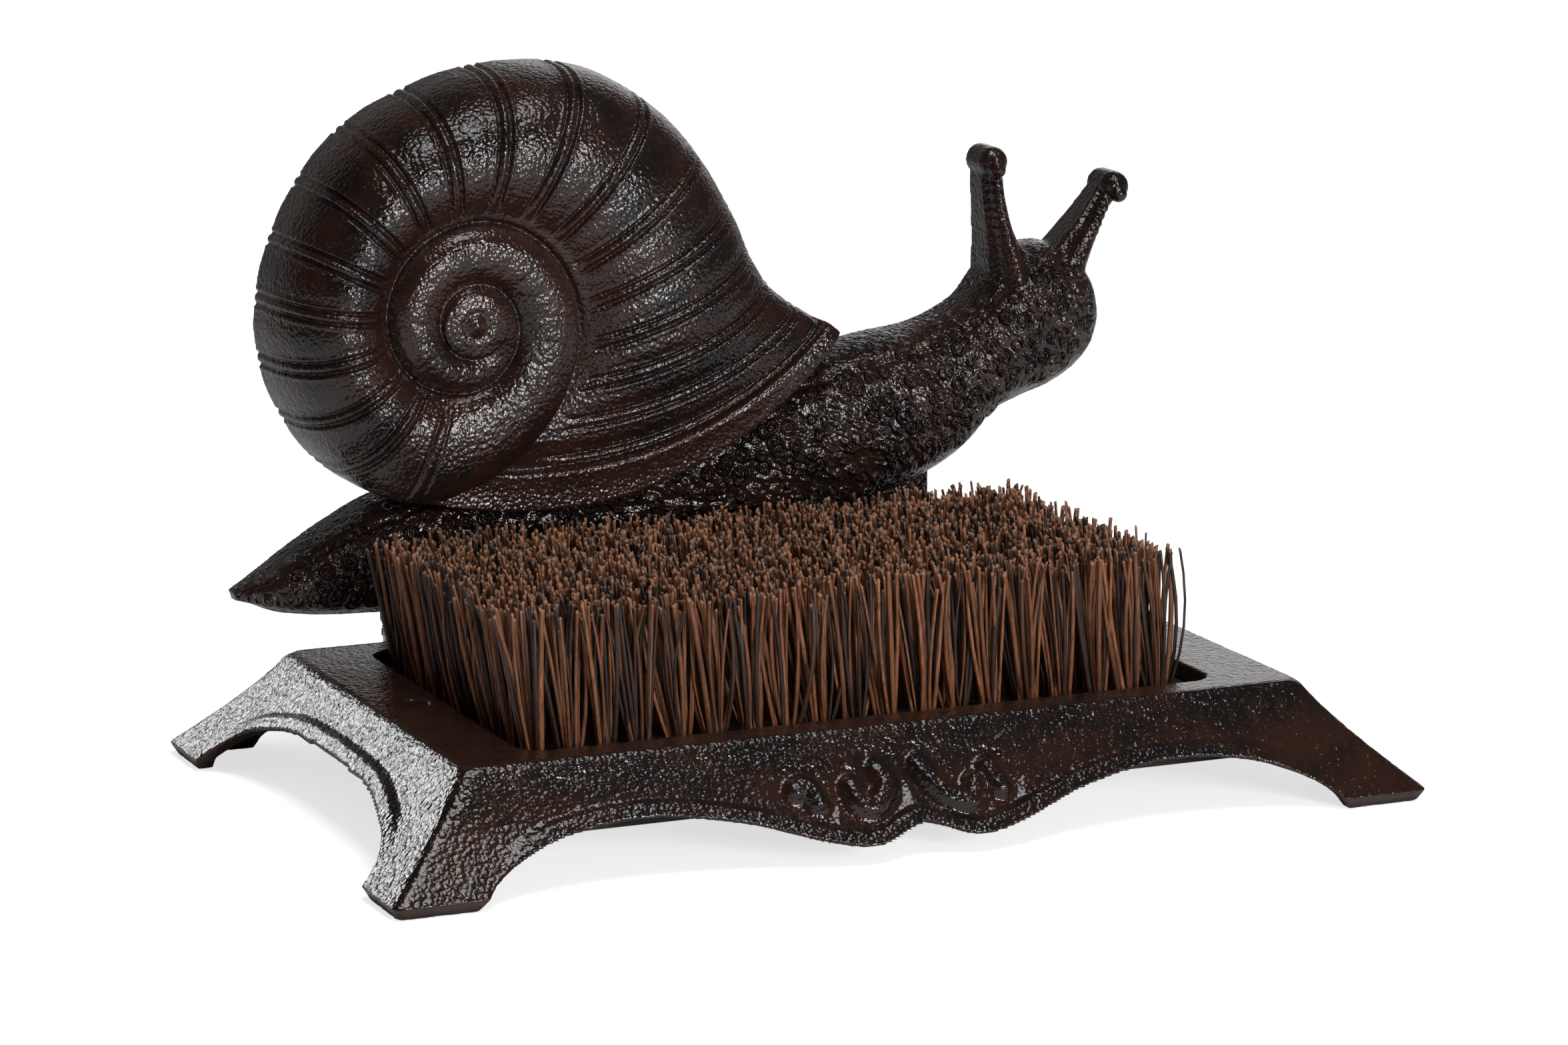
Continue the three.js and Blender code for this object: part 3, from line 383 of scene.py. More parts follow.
def ease(value, low, high):
    """0 below low, 1 above high and smooth between."""
    t = np.clip((np.asarray(value, float) - low) / (high - low), 0, 1)
    return t * t * (3 - 2 * t)


def bell(value, middle, width):
    """1 at the middle, falling off smoothly on both sides."""
    return np.exp(-((value - middle) / width) ** 2)


def point_tree(points):
    """Search tree of points by their first three values."""
    tree = kdtree.KDTree(len(points))
    for i, point in enumerate(points):
        tree.insert(point[:3], i)
    tree.balance()
    return tree


def unit_rows(vectors, least=1e-9):
    """Vectors of length 1, where they aren't too short for it."""
    return vectors / np.maximum(np.linalg.norm(vectors, axis=-1, keepdims=True), least)


def make_mesh(name, points, faces):
    """Object of a mesh given in millimetres."""
    mesh = bpy.data.meshes.new(name)
    mesh.from_pydata((np.asarray(points, float) * MM).tolist(), [], faces)
    mesh.update()
    piece = bpy.data.objects.new(name, mesh)
    bpy.context.scene.collection.objects.link(piece)
    return piece


def face_out(piece):
    """Turns the faces of a closed mesh outwards."""
    work = bmesh.new()
    work.from_mesh(piece.data)
    bmesh.ops.recalc_face_normals(work, faces=work.faces)
    work.to_mesh(piece.data)
    work.free()
    return piece


def loft(name, rings):
    """Closed skin through rings of equal length, with zipped ends."""
    rings = np.asarray(rings, float)
    stations, count = rings.shape[:2]
    faces = []
    for i in range(stations - 1):
        base = i * count
        for j in range(count):
            after = (j + 1) % count
            faces.append((base + j, base + after, base + count + after, base + count + j))
    for offset in (0, (stations - 1) * count):
        low, high = 0, count - 1
        while high - low > 1:
            corners = [low, low + 1, high - 1, high]
            faces.append(tuple(offset + c for c in dict.fromkeys(corners)))
            low, high = low + 1, high - 1
    return face_out(make_mesh(name, rings.reshape(-1, 3), faces))


def prism(name, outline, low, high, plane="xy"):
    """Flat outline in one of the planes xy, xz and yz, raised across it between two levels."""
    outline = np.asarray(outline, float)
    count = len(outline)
    place = {"xy": 2, "xz": 1, "yz": 0}[plane]
    levels = [np.insert(outline, place, level, axis=1) for level in (low, high)]
    faces = [(j, (j + 1) % count, count + (j + 1) % count, count + j) for j in range(count)]
    faces += [tuple(range(count)), tuple(range(count, 2 * count))]
    return face_out(make_mesh(name, np.vstack(levels), faces))


def ball(name, centre, radius):
    """Round closed mesh about a centre."""
    work = bmesh.new()
    bmesh.ops.create_icosphere(work, subdivisions=5, radius=radius)
    points = np.array([v.co for v in work.verts]) + np.array(centre)
    faces = [tuple(v.index for v in f.verts) for f in work.faces]
    work.free()
    return make_mesh(name, points, faces)


def circle(centre, radius, count=48):
    """Points of a circle in its own plane."""
    angles = np.linspace(0, 2 * math.pi, count, endpoint=False)
    return np.c_[centre[0] + radius * np.cos(angles), centre[1] + radius * np.sin(angles)]


def merge(name, pieces):
    """One object of several, as separate shells of one mesh."""
    points, faces, offset = [], [], 0
    for piece in pieces:
        mesh = piece.data
        points.append(read_points(mesh))
        faces += [tuple(offset + v for v in p.vertices) for p in mesh.polygons]
        offset += len(mesh.vertices)
        bpy.data.objects.remove(piece)
    return make_mesh(name, np.vstack(points), faces)


def read_points(mesh):
    """Vertices in millimetres."""
    flat = np.empty(len(mesh.vertices) * 3, np.float32)
    mesh.vertices.foreach_get("co", flat)
    return flat.reshape(-1, 3).astype(float) / MM


def write_points(mesh, points):
    """Moves the vertices to points in millimetres."""
    mesh.vertices.foreach_set("co", (points * MM).astype(np.float32).ravel())
    mesh.update()


def read_normals(mesh):
    flat = np.empty(len(mesh.vertices) * 3, np.float32)
    mesh.vertex_normals.foreach_get("vector", flat)
    return flat.reshape(-1, 3).astype(float)


def settle(piece):
    """Applies the modifiers of a piece."""
    graph = bpy.context.evaluated_depsgraph_get()
    graph.update()
    mesh = bpy.data.meshes.new_from_object(piece.evaluated_get(graph))
    piece.modifiers.clear()
    piece.data = mesh


def carve(piece, cutters, operation="DIFFERENCE"):
    """Cuts pieces out of a piece, or joins them to it with UNION."""
    for cutter in cutters:
        step = piece.modifiers.new("cut", "BOOLEAN")
        step.operation = operation
        step.solver = "EXACT"
        step.object = cutter
    settle(piece)
    for cutter in cutters:
        bpy.data.objects.remove(cutter)
    if len(piece.data.polygons) < 10:
        raise RuntimeError(f"nothing is left of {piece.name}")


def recast(piece, voxel, passes):
    """Even fine faces with slightly rounded edges, as a sand mould gives."""
    step = piece.modifiers.new("voxels", "REMESH")
    step.mode = "VOXEL"
    step.voxel_size = voxel
    smooth = piece.modifiers.new("rounding", "SMOOTH")
    smooth.factor = 0.5
    smooth.iterations = passes
    settle(piece)


def unevenness(piece, size, height):
    """Lasting cloudy displacement of the skin."""
    texture = bpy.data.textures.new(f"{piece.name}_skin", "CLOUDS")
    texture.noise_scale = size
    texture.noise_depth = 2
    step = piece.modifiers.new("skin", "DISPLACE")
    step.texture = texture
    step.texture_coords = "GLOBAL"
    step.strength = height
    step.mid_level = 0.5
    settle(piece)


def give_values(mesh, name, values):
    """Named value of each vertex for the finishes."""
    attribute = mesh.attributes.new(name, "FLOAT", "POINT")
    attribute.data.foreach_set("value", np.asarray(values, np.float32))


def finish_piece(piece, material, nodes=()):
    """Shades a piece and gives it its finish, slot and body, and the nodes it stands for."""
    piece.data.shade_smooth()
    piece.data.materials.clear()
    piece.data.materials.append(material)
    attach(piece, "root")
    if nodes:
        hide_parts(*nodes)


# Finishes


class NodeWork:
    """Builds the nodes of a material or a world one by one."""

    def __init__(self, owner):
        owner.use_nodes = True
        self.nodes = owner.node_tree.nodes
        self.links = owner.node_tree.links

    def add(self, kind, **values):
        node = self.nodes.new(kind)
        for key, value in values.items():
            setattr(node, key, value)
        return node

    def plug(self, socket, value):
        """Links a socket to another or gives it a number or a colour."""
        if isinstance(value, bpy.types.NodeSocket):
            self.links.new(value, socket)
        elif isinstance(value, (int, float)):
            socket.default_value = value
        else:
            socket.default_value = (*tuple(value)[:3], 1)

    def feed(self, node, **inputs):
        for key, value in inputs.items():
            self.plug(node.inputs[key.replace("_", " ")], value)
        return node

    def ramp(self, source, low, high, start=0.0, end=1.0, shape="SMOOTHSTEP"):
        node = self.add("ShaderNodeMapRange", interpolation_type=shape)
        self.feed(node, Value=source, From_Min=low, From_Max=high, To_Min=start, To_Max=end)
        return node.outputs["Result"]

    def maths(self, operation, first, second=0.0):
        node = self.add("ShaderNodeMath", operation=operation)
        for socket, value in zip(node.inputs, (first, second)):
            self.plug(socket, value)
        return node.outputs[0]

    def choose(self, factor, first, second):
        """One shader where the factor is 0 and another where it is 1."""
        node = self.add("ShaderNodeMixShader")
        for socket, value in zip(node.inputs, (factor, first.outputs[0], second.outputs[0])):
            self.plug(socket, value)
        return node


class Shader(NodeWork):
    """A material on the coordinates of its piece."""

    def __init__(self, name):
        self.material = bpy.data.materials.new(name)
        super().__init__(self.material)
        self.surface = self.nodes["Principled BSDF"]
        self.place = self.add("ShaderNodeTexCoord").outputs["Object"]

    def noise(self, scale, detail=3.0, rough=0.5, stretch=None):
        node = self.feed(self.add("ShaderNodeTexNoise"), Scale=scale, Detail=detail,
                         Roughness=rough, Vector=self.stretched(stretch))
        return node.outputs["Fac"]

    def cells(self, scale, feature="F1", smooth=None):
        node = self.feed(self.add("ShaderNodeTexVoronoi", feature=feature), Scale=scale,
                         Vector=self.place)
        if smooth is not None:
            self.feed(node, Smoothness=smooth)
        return node.outputs["Distance"]

    def stretched(self, stretch):
        if stretch is None:
            return self.place
        node = self.feed(self.add("ShaderNodeMapping"), Vector=self.place)
        node.inputs["Scale"].default_value = stretch
        return node.outputs["Vector"]

    def value(self, name):
        return self.add("ShaderNodeAttribute", attribute_name=name).outputs["Fac"]

    def blend(self, factor, first, second):
        node = self.add("ShaderNodeMix", data_type="RGBA")
        sockets = [s for s in node.inputs if s.enabled]
        for socket, value in zip(sockets, (factor, first, second)):
            self.plug(socket, value)
        return next(s for s in node.outputs if s.enabled)

    def bump(self, height, distance, below=None):
        node = self.feed(self.add("ShaderNodeBump"), Height=height, Distance=distance)
        if below is not None:
            self.links.new(below, node.inputs["Normal"])
        return node.outputs["Normal"]


def scaled(colour, *shares):
    """A colour times one share, or times a share for each channel."""
    return tuple(np.array(colour) * shares)


def iron_finish(name, brown, black, grain, least):
    """Lacquered sand cast iron: chestnut where it is smooth, black and beady where it is rough."""
    s = Shader(name)
    rough_zone = s.value("rough_zone")
    cloud = s.noise(75, 4, 0.6)
    speckle = s.noise(520, 3, 0.6)
    darkness = s.maths("ADD", s.maths("MULTIPLY", rough_zone, 0.8),
                       s.ramp(cloud, 0.38, 0.68, 0.0, 0.5))
    colour = s.blend(s.ramp(darkness, 0.0, 1.0), brown, black)
    rust = scaled(brown, 1.8, 1.4, 1.2)
    colour = s.blend(s.ramp(speckle, 0.56, 0.72, 0.0, 0.6), colour, rust)
    spots = s.cells(190)
    ring = s.maths("MULTIPLY", s.ramp(spots, 0.26, 0.38), s.ramp(spots, 0.38, 0.52, 1.0, 0.0))
    wart = s.maths("ADD", s.ramp(spots, 0.02, 0.26, 0.8, 0.0), ring)
    warty = s.bump(s.maths("MULTIPLY", wart, s.value("warts")), 0.0013)
    peel = s.noise(1250 * grain, 2, 0.55)
    beads = s.cells(930 * grain, "SMOOTH_F1", 0.3)
    sand = s.noise(2400 * grain, 2, 0.6)
    strong = s.ramp(rough_zone, 0.0, 1.0, least, 0.62)
    height = s.maths("SUBTRACT", s.maths("MULTIPLY", peel, 0.5), s.maths("MULTIPLY", beads, 0.75))
    height = s.maths("ADD", height, s.maths("MULTIPLY", sand, 0.16))
    normal = s.bump(s.maths("MULTIPLY", height, strong), 0.00056, warty)
    roughness = s.ramp(s.noise(640 * grain, 2, 0.6), 0.35, 0.68, 0.06, 0.18)
    s.feed(s.surface, Base_Color=colour, Roughness=roughness, Normal=normal, IOR=1.55)
    return s.material


def fibre_finish(name, copper, dark, tip):
    """Stiff palm fibre with streaks along it and pale cut ends."""
    s = Shader(name)
    shade = s.value("shade")
    streak = s.noise(1.0, 3, 0.6, stretch=(2600, 2600, 130))
    patch = s.noise(1.0, 2, 0.5, stretch=(300, 300, 70))
    body = s.blend(s.ramp(shade, 0.55, 0.98), copper, scaled(copper, 1.7, 1.75, 1.8))
    body = s.blend(s.ramp(shade, 0.34, 0.40), dark, body)
    body = s.blend(s.ramp(streak, 0.40, 0.66, 0.0, 0.75), body, scaled(copper, 0.32))
    body = s.blend(s.ramp(patch, 0.50, 0.70, 0.0, 0.45), body, dark)
    cut = s.maths("MULTIPLY", s.ramp(s.value("along"), 0.985, 0.999),
                  s.ramp(shade, 0.2, 0.6, 0.25, 1.0))
    colour = s.blend(cut, body, tip)
    normal = s.bump(streak, 0.00012)
    s.feed(s.surface, Base_Color=colour, Normal=normal,
           Roughness=s.ramp(streak, 0.3, 0.7, 0.42, 0.62))
    return s.material


def wood_finish(name, stain):
    """Dark stained wood with its grain along the brush."""
    s = Shader(name)
    grain = s.noise(1.0, 4, 0.6, stretch=(18, 160, 160))
    pores = s.noise(1.0, 2, 0.5, stretch=(120, 1500, 1500))
    dark = scaled(stain, 0.35)
    colour = s.blend(s.ramp(grain, 0.35, 0.68), stain, dark)
    colour = s.blend(s.ramp(pores, 0.56, 0.70, 0.0, 0.7), colour, dark)
    s.feed(s.surface, Base_Color=colour, Normal=s.bump(pores, 0.0002),
           Roughness=s.ramp(grain, 0.3, 0.7, 0.62, 0.85))
    return s.material


def steel_finish(name, tint):
    """Blackened steel with a lighter worn cast."""
    s = Shader(name)
    cloud = s.noise(240, 3, 0.6)
    fine = s.noise(2600, 2, 0.5)
    colour = s.blend(s.ramp(cloud, 0.4, 0.65), tint, scaled(tint, 0.35))
    s.feed(s.surface, Base_Color=colour, Normal=s.bump(fine, 0.00006), Metallic=0.85,
           Roughness=s.ramp(cloud, 0.35, 0.65, 0.32, 0.5))
    return s.material


# Base frame


def rounded_outline(half_length, half_width, corner, steps=7):
    """Rectangle with round corners, given by half its sides."""
    angles = np.linspace(0, math.pi / 2, steps)
    corners = []
    for turn, (side_x, side_y) in enumerate(((1, -1), (1, 1), (-1, 1), (-1, -1))):
        a = angles + (turn - 1) * math.pi / 2
        corners.append(np.c_[side_x * (half_length - corner) + corner * np.cos(a),
                             side_y * (half_width - corner) + corner * np.sin(a)])
    return np.vstack(corners)


def overhang(height, flare):
    """How far the skirt stands out past the rim."""
    height = np.asarray(height, float)
    fall = np.clip((FRAME_HEIGHT - height) / (FRAME_HEIGHT - TOE_HEIGHT), 0, 1)
    toe = flare - TOE_UNDERCUT * (1 - height / TOE_HEIGHT)
    return np.where(height < TOE_HEIGHT, toe, flare * fall ** FLARE_CURVE)


def level_ring(height, inset_length=0.0, inset_width=0.0):
    """Outline of the skirt at a height, drawn in by the insets."""
    flat = rounded_outline(RIM_HALF_LENGTH + overhang(height, FLARE_LENGTH) - inset_length,
                           RIM_HALF_WIDTH + overhang(height, FLARE_WIDTH) - inset_width,
                           SKIRT_CORNER)
    return np.c_[flat, np.full(len(flat), height)]


def skirt_skin():
    """Outside of the frame from its toes to the chamfered rim."""
    levels = np.concatenate([[0, 1.6, TOE_HEIGHT], np.linspace(6, FRAME_HEIGHT - RIM_CHAMFER, 9)])
    rings = [level_ring(h) for h in levels]
    for drop, inset in ((RIM_CHAMFER * 0.35, RIM_CHAMFER * 0.35), (0, RIM_CHAMFER)):
        flat = rounded_outline(RIM_HALF_LENGTH - inset, RIM_HALF_WIDTH - inset, SKIRT_CORNER)
        rings.append(np.c_[flat, np.full(len(flat), FRAME_HEIGHT - drop)])
    return loft("frame_casting", rings)


def skirt_hollow():
    """Room inside the walls of the frame, open below."""
    inset_length = FRAME_WALL * math.hypot(1, FLARE_LENGTH / FRAME_HEIGHT)
    inset_width = FRAME_WALL * math.hypot(1, FLARE_WIDTH / FRAME_HEIGHT)
    levels = np.linspace(TOE_HEIGHT, FRAME_HEIGHT - FRAME_WALL, 6)
    rings = [level_ring(TOE_HEIGHT, inset_length, inset_width) * (1, 1, 0) - (0, 0, 2)]
    rings += [level_ring(h, inset_length, inset_width) for h in levels]
    return loft("hollow", rings)


def long_edge_rows():
    """Height of the cut edge of a long side at a distance from its middle."""
    foot = RIM_HALF_LENGTH + FLARE_LENGTH - FOOT_LENGTH
    top = foot - ARCH_TOP_FROM_FOOT
    return (
        (0, CUSP_LEVEL), (LOBE_OFFSET * 0.3, CUSP_LEVEL - 1.4),
        (LOBE_OFFSET * 0.65, LOBE_LEVEL + 0.4), (LOBE_OFFSET, LOBE_LEVEL),
        (LOBE_OFFSET * 1.6, LOBE_LEVEL + 2.2), (LOBE_OFFSET * 2.6, ARCH_RISE - 4),
        (top - 14, ARCH_RISE - 0.4), (top, ARCH_RISE), (foot - 34, ARCH_RISE - 1),
        (foot - 22, ARCH_RISE - 3.6), (foot - 6, ARCH_RISE * 0.36), (foot + 1, ARCH_FOOT),
    )


def end_edge_rows():
    """Height of the cut edge of an end at a distance from its middle."""
    foot = RIM_HALF_WIDTH + FLARE_WIDTH - FOOT_WIDTH
    rise = END_ARCH_RISE
    return ((0, rise), (foot - 46, rise - 0.8), (foot - 28, rise - 3.8), (foot - 17, rise - 7),
            (foot - 8, rise * 0.38), (foot, ARCH_FOOT))


def arch_cutter(rows, plane):
    """Block below a cut edge, right through the frame."""
    reach = rows[-1][0]
    places = np.linspace(-reach, reach, 401)
    edge = np.c_[places, along(rows, np.abs(places))]
    outline = np.vstack([[-reach, CUT_FLOOR], edge, [reach, CUT_FLOOR]])
    return prism("arch", outline, -CUT_REACH, CUT_REACH, plane)


def ear(x):
    """Ear behind the rim that a bolt of the snail goes through."""
    root = RIM_HALF_WIDTH - FRAME_WALL
    lean = math.atan2(EAR_ROOT_HALF_WIDTH - EAR_TIP_RADIUS, BOLT_Y - root)
    angles = np.linspace(lean, math.pi - lean, 40)
    tip = np.c_[x + EAR_TIP_RADIUS * np.cos(angles), BOLT_Y + EAR_TIP_RADIUS * np.sin(angles)]
    outline = np.vstack([[x + EAR_ROOT_HALF_WIDTH, root], tip, [x - EAR_ROOT_HALF_WIDTH, root]])
    return prism("ear", outline, FRAME_HEIGHT - EAR_THICKNESS, FRAME_HEIGHT)


def smooth_stroke(stroke, count=60):
    """Fine points through the few of a stroke."""
    points = np.array(stroke, float)
    place = np.linspace(0, 1, len(points))
    rows = [(t, *p) for t, p in zip(place, points)]
    fine = np.linspace(0, 1, count)
    return np.c_[along(rows, fine, 1), along(rows, fine, 2)]


def border_mask(height, rows, place):
    """1 on the border along a cut edge, falling off above it."""
    place = np.abs(place)
    slope = along(rows, place + 0.5) - along(rows, place - 0.5)
    away = SLOPE_STRETCH * (height - along(rows, place)) / np.hypot(1, slope)
    return 1 - ease(away, *BORDER_EDGE)


def scroll_relief(x, z):
    """Pillowy strokes with valleys beside them."""
    relief = np.zeros(len(x))
    near = (np.abs(x) < SCROLL_REACH[0]) & (z < SCROLL_REACH[1])
    here = np.c_[x[near], z[near] * SLOPE_STRETCH]
    nearest = np.full(len(here), np.inf)
    for stroke in SCROLL_STROKES:
        line = smooth_stroke(stroke) * (1, SLOPE_STRETCH)
        gaps = np.hypot(here[:, :1] - line[:, 0], here[:, 1:] - line[:, 1])
        nearest = np.minimum(nearest, gaps.min(axis=1))
    relief[near] = (np.exp(-(nearest / SCROLL_HALF_WIDTH) ** 4)
                    - VALLEY_DEPTH * bell(nearest, VALLEY_AWAY, VALLEY_WIDTH))
    return relief


def frame_relief(points, normals, sizes):
    """Relief on the sloping sides and how rough each place is."""
    x, y, z = points.T
    from_middle, from_axis = np.abs(x), np.abs(y)
    sloping = (np.abs(normals) > SIDE_SLOPE) & (normals[:, 2:] > 0)
    long_side = sloping[:, 1] & (from_axis > RIM_HALF_WIDTH - 1) & (from_middle < LONG_SIDE_END)
    end_side = sloping[:, 0] & (from_middle > RIM_HALF_LENGTH - 1) & ~long_side
    length_left = RIM_HALF_LENGTH + overhang(z, FLARE_LENGTH) - from_middle
    width_left = RIM_HALF_WIDTH + overhang(z, FLARE_WIDTH) - from_axis
    border = border_mask(z, long_edge_rows(), x) * (1 - ease(from_middle, *LONG_BORDER_END))
    end_border = border_mask(z, end_edge_rows(), y) * (1 - ease(from_axis, *END_BORDER_END))
    band = ease(z, *BAND_LEVELS)
    raised = sizes.border * border + sizes.band * band * (1 - border)
    end_raised = 1.3 * sizes.border * end_border + 0.5 * sizes.band * ease(z, *END_BAND_LEVELS)
    relief = (np.where(long_side, raised * ease(length_left, *CORNER_FADE), 0)
              + np.where(end_side, end_raised * ease(width_left, *CORNER_FADE), 0))
    front = long_side & (y < 0)
    scroll = scroll_relief(x, z)
    relief[front] += (sizes.scroll * scroll * (1 - band * 0.6))[front]
    rough = np.where(long_side, 0.25 + 0.4 * np.maximum(border, band), 0.1)
    rough = np.where(front, np.clip(rough + 0.4 * scroll, 0, 1), rough)
    rough = np.where(end_side, 0.75, rough)
    return relief / MM, rough


def sink_screws(points):
    """Countersinks for the two screws that hold the brush."""
    top = points[:, 2] > FRAME_HEIGHT - 1
    for side in (-1, 1):
        away = np.hypot(points[:, 0] - side * SCREW_X, points[:, 1])
        points[:, 2] -= np.where(top, np.clip(SINK_RADIUS - away, 0, SINK_DEPTH), 0)


class DOORMAT_OT_frame_casting(bpy.types.Operator):
    """Build the cast base frame with its borders and scrolls"""

    bl_idname = "doormat.frame_casting"
    bl_label = "Frame Casting"

    def execute(self, context):
        sizes = context.scene.doormat_frame
        casting = skirt_skin()
        opening = rounded_outline(OPENING_HALF_LENGTH, OPENING_HALF_WIDTH, OPENING_CORNER, 16)
        carve(casting, [skirt_hollow(), arch_cutter(long_edge_rows(), "xz"),
                        arch_cutter(end_edge_rows(), "yz")])
        carve(casting, [ear(x) for x in LUG_XS], "UNION")
        carve(casting, [prism("opening", opening, *OPENING_LEVELS)])
        recast(casting, sizes.voxel, FRAME_ROUNDING)
        points, normals = read_points(casting.data), read_normals(casting.data)
        relief, rough = frame_relief(points, normals, sizes)
        points += normals * relief[:, None]
        sink_screws(points)
        write_points(casting.data, points)
        unevenness(casting, FRAME_SKIN_SIZE, sizes.skin)
        give_values(casting.data, "rough_zone", rough)
        keep_in_box(casting, "base_frame")
        finish_piece(casting, bpy.data.materials["frame_iron"], ["base_frame"])
        return {"FINISHED"}


def keep_in_box(piece, node):
    """No displaced point leaves the box of the CAD node."""
    low, high = (np.array(c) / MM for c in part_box(node))
    points = read_points(piece.data)
    write_points(piece.data, np.clip(points, low, high))


# Snail


def coil_point(turn):
    """Point of the coil's outline at a turn in degrees."""
    angle = np.radians(LIP_ANGLE - np.asarray(turn, float))
    radius = along(COIL_RADII, turn)
    return np.stack([COIL_CENTRE[0] + radius * np.cos(angle),
                     COIL_CENTRE[1] + radius * np.sin(angle)], axis=-1)


def growth_line(turn, across):
    """Points of a growth line from the suture to the outline."""
    outer_turn = -GROWTH_LAG * math.log(1 + math.exp(-turn / GROWTH_LAG))
    inner, outer = coil_point(turn - 360), coil_point(outer_turn)
    chord = outer - inner
    bow = LIP_SAG * (turn - outer_turn) / LIP_END
    bend = 4 * across * (1 - across) * bow
    side = np.array([chord[1], -chord[0]])
    return inner + across[:, None] * chord + bend[:, None] * side


def whorl_depth(turn, across):
    """How far the last whorl stands out of the back, from the suture to the outline."""
    lip = float(ease(turn, *LIP_TURNS))
    opened = float(ease(turn, SPIRE_END, SPIRE_END + WHORL_DROP))
    crest = SHELL_CREST + (SHELL_LIP_DEPTH + LIP_SWELL - SHELL_CREST) * lip
    rim = SUTURE_DEPTH - SUTURE_STEP
    rim += (EDGE_LAND - rim) * opened
    edge = rim + (SHELL_LIP_DEPTH - LIP_DROP - rim) * lip
    start = min(SUTURE_DEPTH, crest - 1)
    inner = crest - (crest - start) * ((WHORL_CREST - across) / WHORL_CREST) ** 2
    fall = np.clip((across - WHORL_CREST) / (1 - WHORL_CREST), 0, 1)
    outer = edge + (crest - edge) * (1 - fall ** WHORL_ROUNDNESS) ** (1 / WHORL_ROUNDNESS)
    return np.where(across < WHORL_CREST, inner, outer)


def line_spacing(flat, turns):
    """Distance between growth lines one degree apart, at each point of a grid."""
    step = np.gradient(flat, turns, axis=0)
    run = unit_rows(np.gradient(flat, axis=1))
    return np.abs(step[..., 0] * run[..., 1] - step[..., 1] * run[..., 0])


def growth_relief(turns, across, spacing, sizes):
    """Pairs of grooves along the growth lines, swells between them and the band at the lip."""
    seam_turn = LIP_END - LIP_BAND
    lip = ease(turns, seam_turn - LIP_STEP, seam_turn + LIP_STEP)[:, None]
    phase = np.abs(turns % GROOVE_PITCH - GROOVE_PITCH / 2)[:, None] * spacing
    half_pitch = GROOVE_PITCH / 2 * spacing
    spread = np.minimum(GROOVE_SPREAD, 0.3 * half_pitch)
    past = phase - spread
    groove = bell(past, 0, GROOVE_WIDTH)
    edge = bell(past, GROOVE_EDGE, GROOVE_WIDTH) + bell(phase, 0, 0.6)
    reach = np.maximum(half_pitch - spread - SWELL_START, 0.5)
    swell = np.sin(math.pi / 2 * np.clip((past - SWELL_START) / reach, 0, 1))
    fade = (ease(across, 0.03, 0.2) * (1 - 0.5 * ease(across, 0.88, 1.0)))[None, :]
    relief = sizes.swell * swell - sizes.groove * groove + EDGE_SHARE * sizes.groove * edge
    rim = SUTURE_LEDGE * bell(across, 0.035, 0.025)[None, :]
    rim = rim * (1 - ease(turns, -30, 10))[:, None]
    seam = np.abs(turns - LIP_END + LIP_BAND + 1.4)[:, None] * spacing
    rim = rim - SEAM_DEPTH * bell(seam, 0, 0.9)
    return relief / MM * fade * (1 - lip) + rim + LIP_BAND_RISE * lip


def sheet_normals(sheet, inside):
    """Unit normals of a grid of points, turned away from a point inside for each row."""
    normals = unit_rows(np.cross(np.gradient(sheet, axis=0), np.gradient(sheet, axis=1)))
    outward = ((sheet - inside) * normals).sum(axis=2, keepdims=True)
    return np.where(outward < 0, -normals, normals)


def stand_on_back(sheet):
    """Rings of a front sheet and its shadow on the open back."""
    shadow = sheet[:, ::-1].copy()
    shadow[:, :, 1] = 0
    return np.concatenate([sheet, shadow], axis=1)


def last_whorl(sizes):
    """Outer turn of the shell up to its lip, tucked a little under the spire."""
    across = np.concatenate([[WHORL_TUCK], np.linspace(0, 1, 90) ** 0.9])
    turns = np.arange(SPIRE_END - WHORL_LAP, LIP_END + 0.01, 0.3)
    lines = np.array([growth_line(turn, across) for turn in turns])
    begun = ease(turns, SPIRE_END - WHORL_LAP, SPIRE_END + WHORL_BLEND)
    relief = growth_relief(turns, across, line_spacing(lines, turns), sizes) * begun[:, None]
    sheet = []
    for turn, flat, share in zip(turns, lines, begun):
        depth = whorl_depth(turn, np.maximum(across, 0))
        spire_depth = SUTURE_DEPTH + spire_profile(turn, np.clip(across, 0, 1), flat[0], flat[-1])
        depth = spire_depth + (depth - spire_depth) * share
        sheet.append(np.c_[flat[:, 0], -depth, flat[:, 1]])
    sheet = np.array(sheet)
    inside = (sheet[:, :1] + sheet[:, -1:]) / 2 * (1, 0, 1)
    sheet += sheet_normals(sheet, inside) * relief[:, :, None]
    sheet[:, :, 1] = np.minimum(sheet[:, :, 1], -1)
    whorl = loft("whorl", stand_on_back(sheet))
    swell = ease(across, 0.1, 0.45) * (1 - 0.5 * ease(across, 0.7, 1.0))
    zone = 0.05 + 0.5 * swell[None, :] * (1 - ease(turns, 60, 72))[:, None]
    give_values(whorl.data, "zone", np.hstack([zone, zone[:, ::-1]]).ravel())
    return whorl


def dome_rise(radius, foot_radius):
    """Height of the middle dome over the suture."""
    share = np.clip(1 - (radius / foot_radius) ** 2, 0, 1)
    return DOME_FOOT - SUTURE_DEPTH + DOME_RISE * np.sqrt(share)


def suture_rise(turn):
    """Height of the suture over its outer part: it gets shallow towards the dome."""
    return (DOME_FOOT - SUTURE_DEPTH) * float(ease(-turn, *SUTURE_FADE))


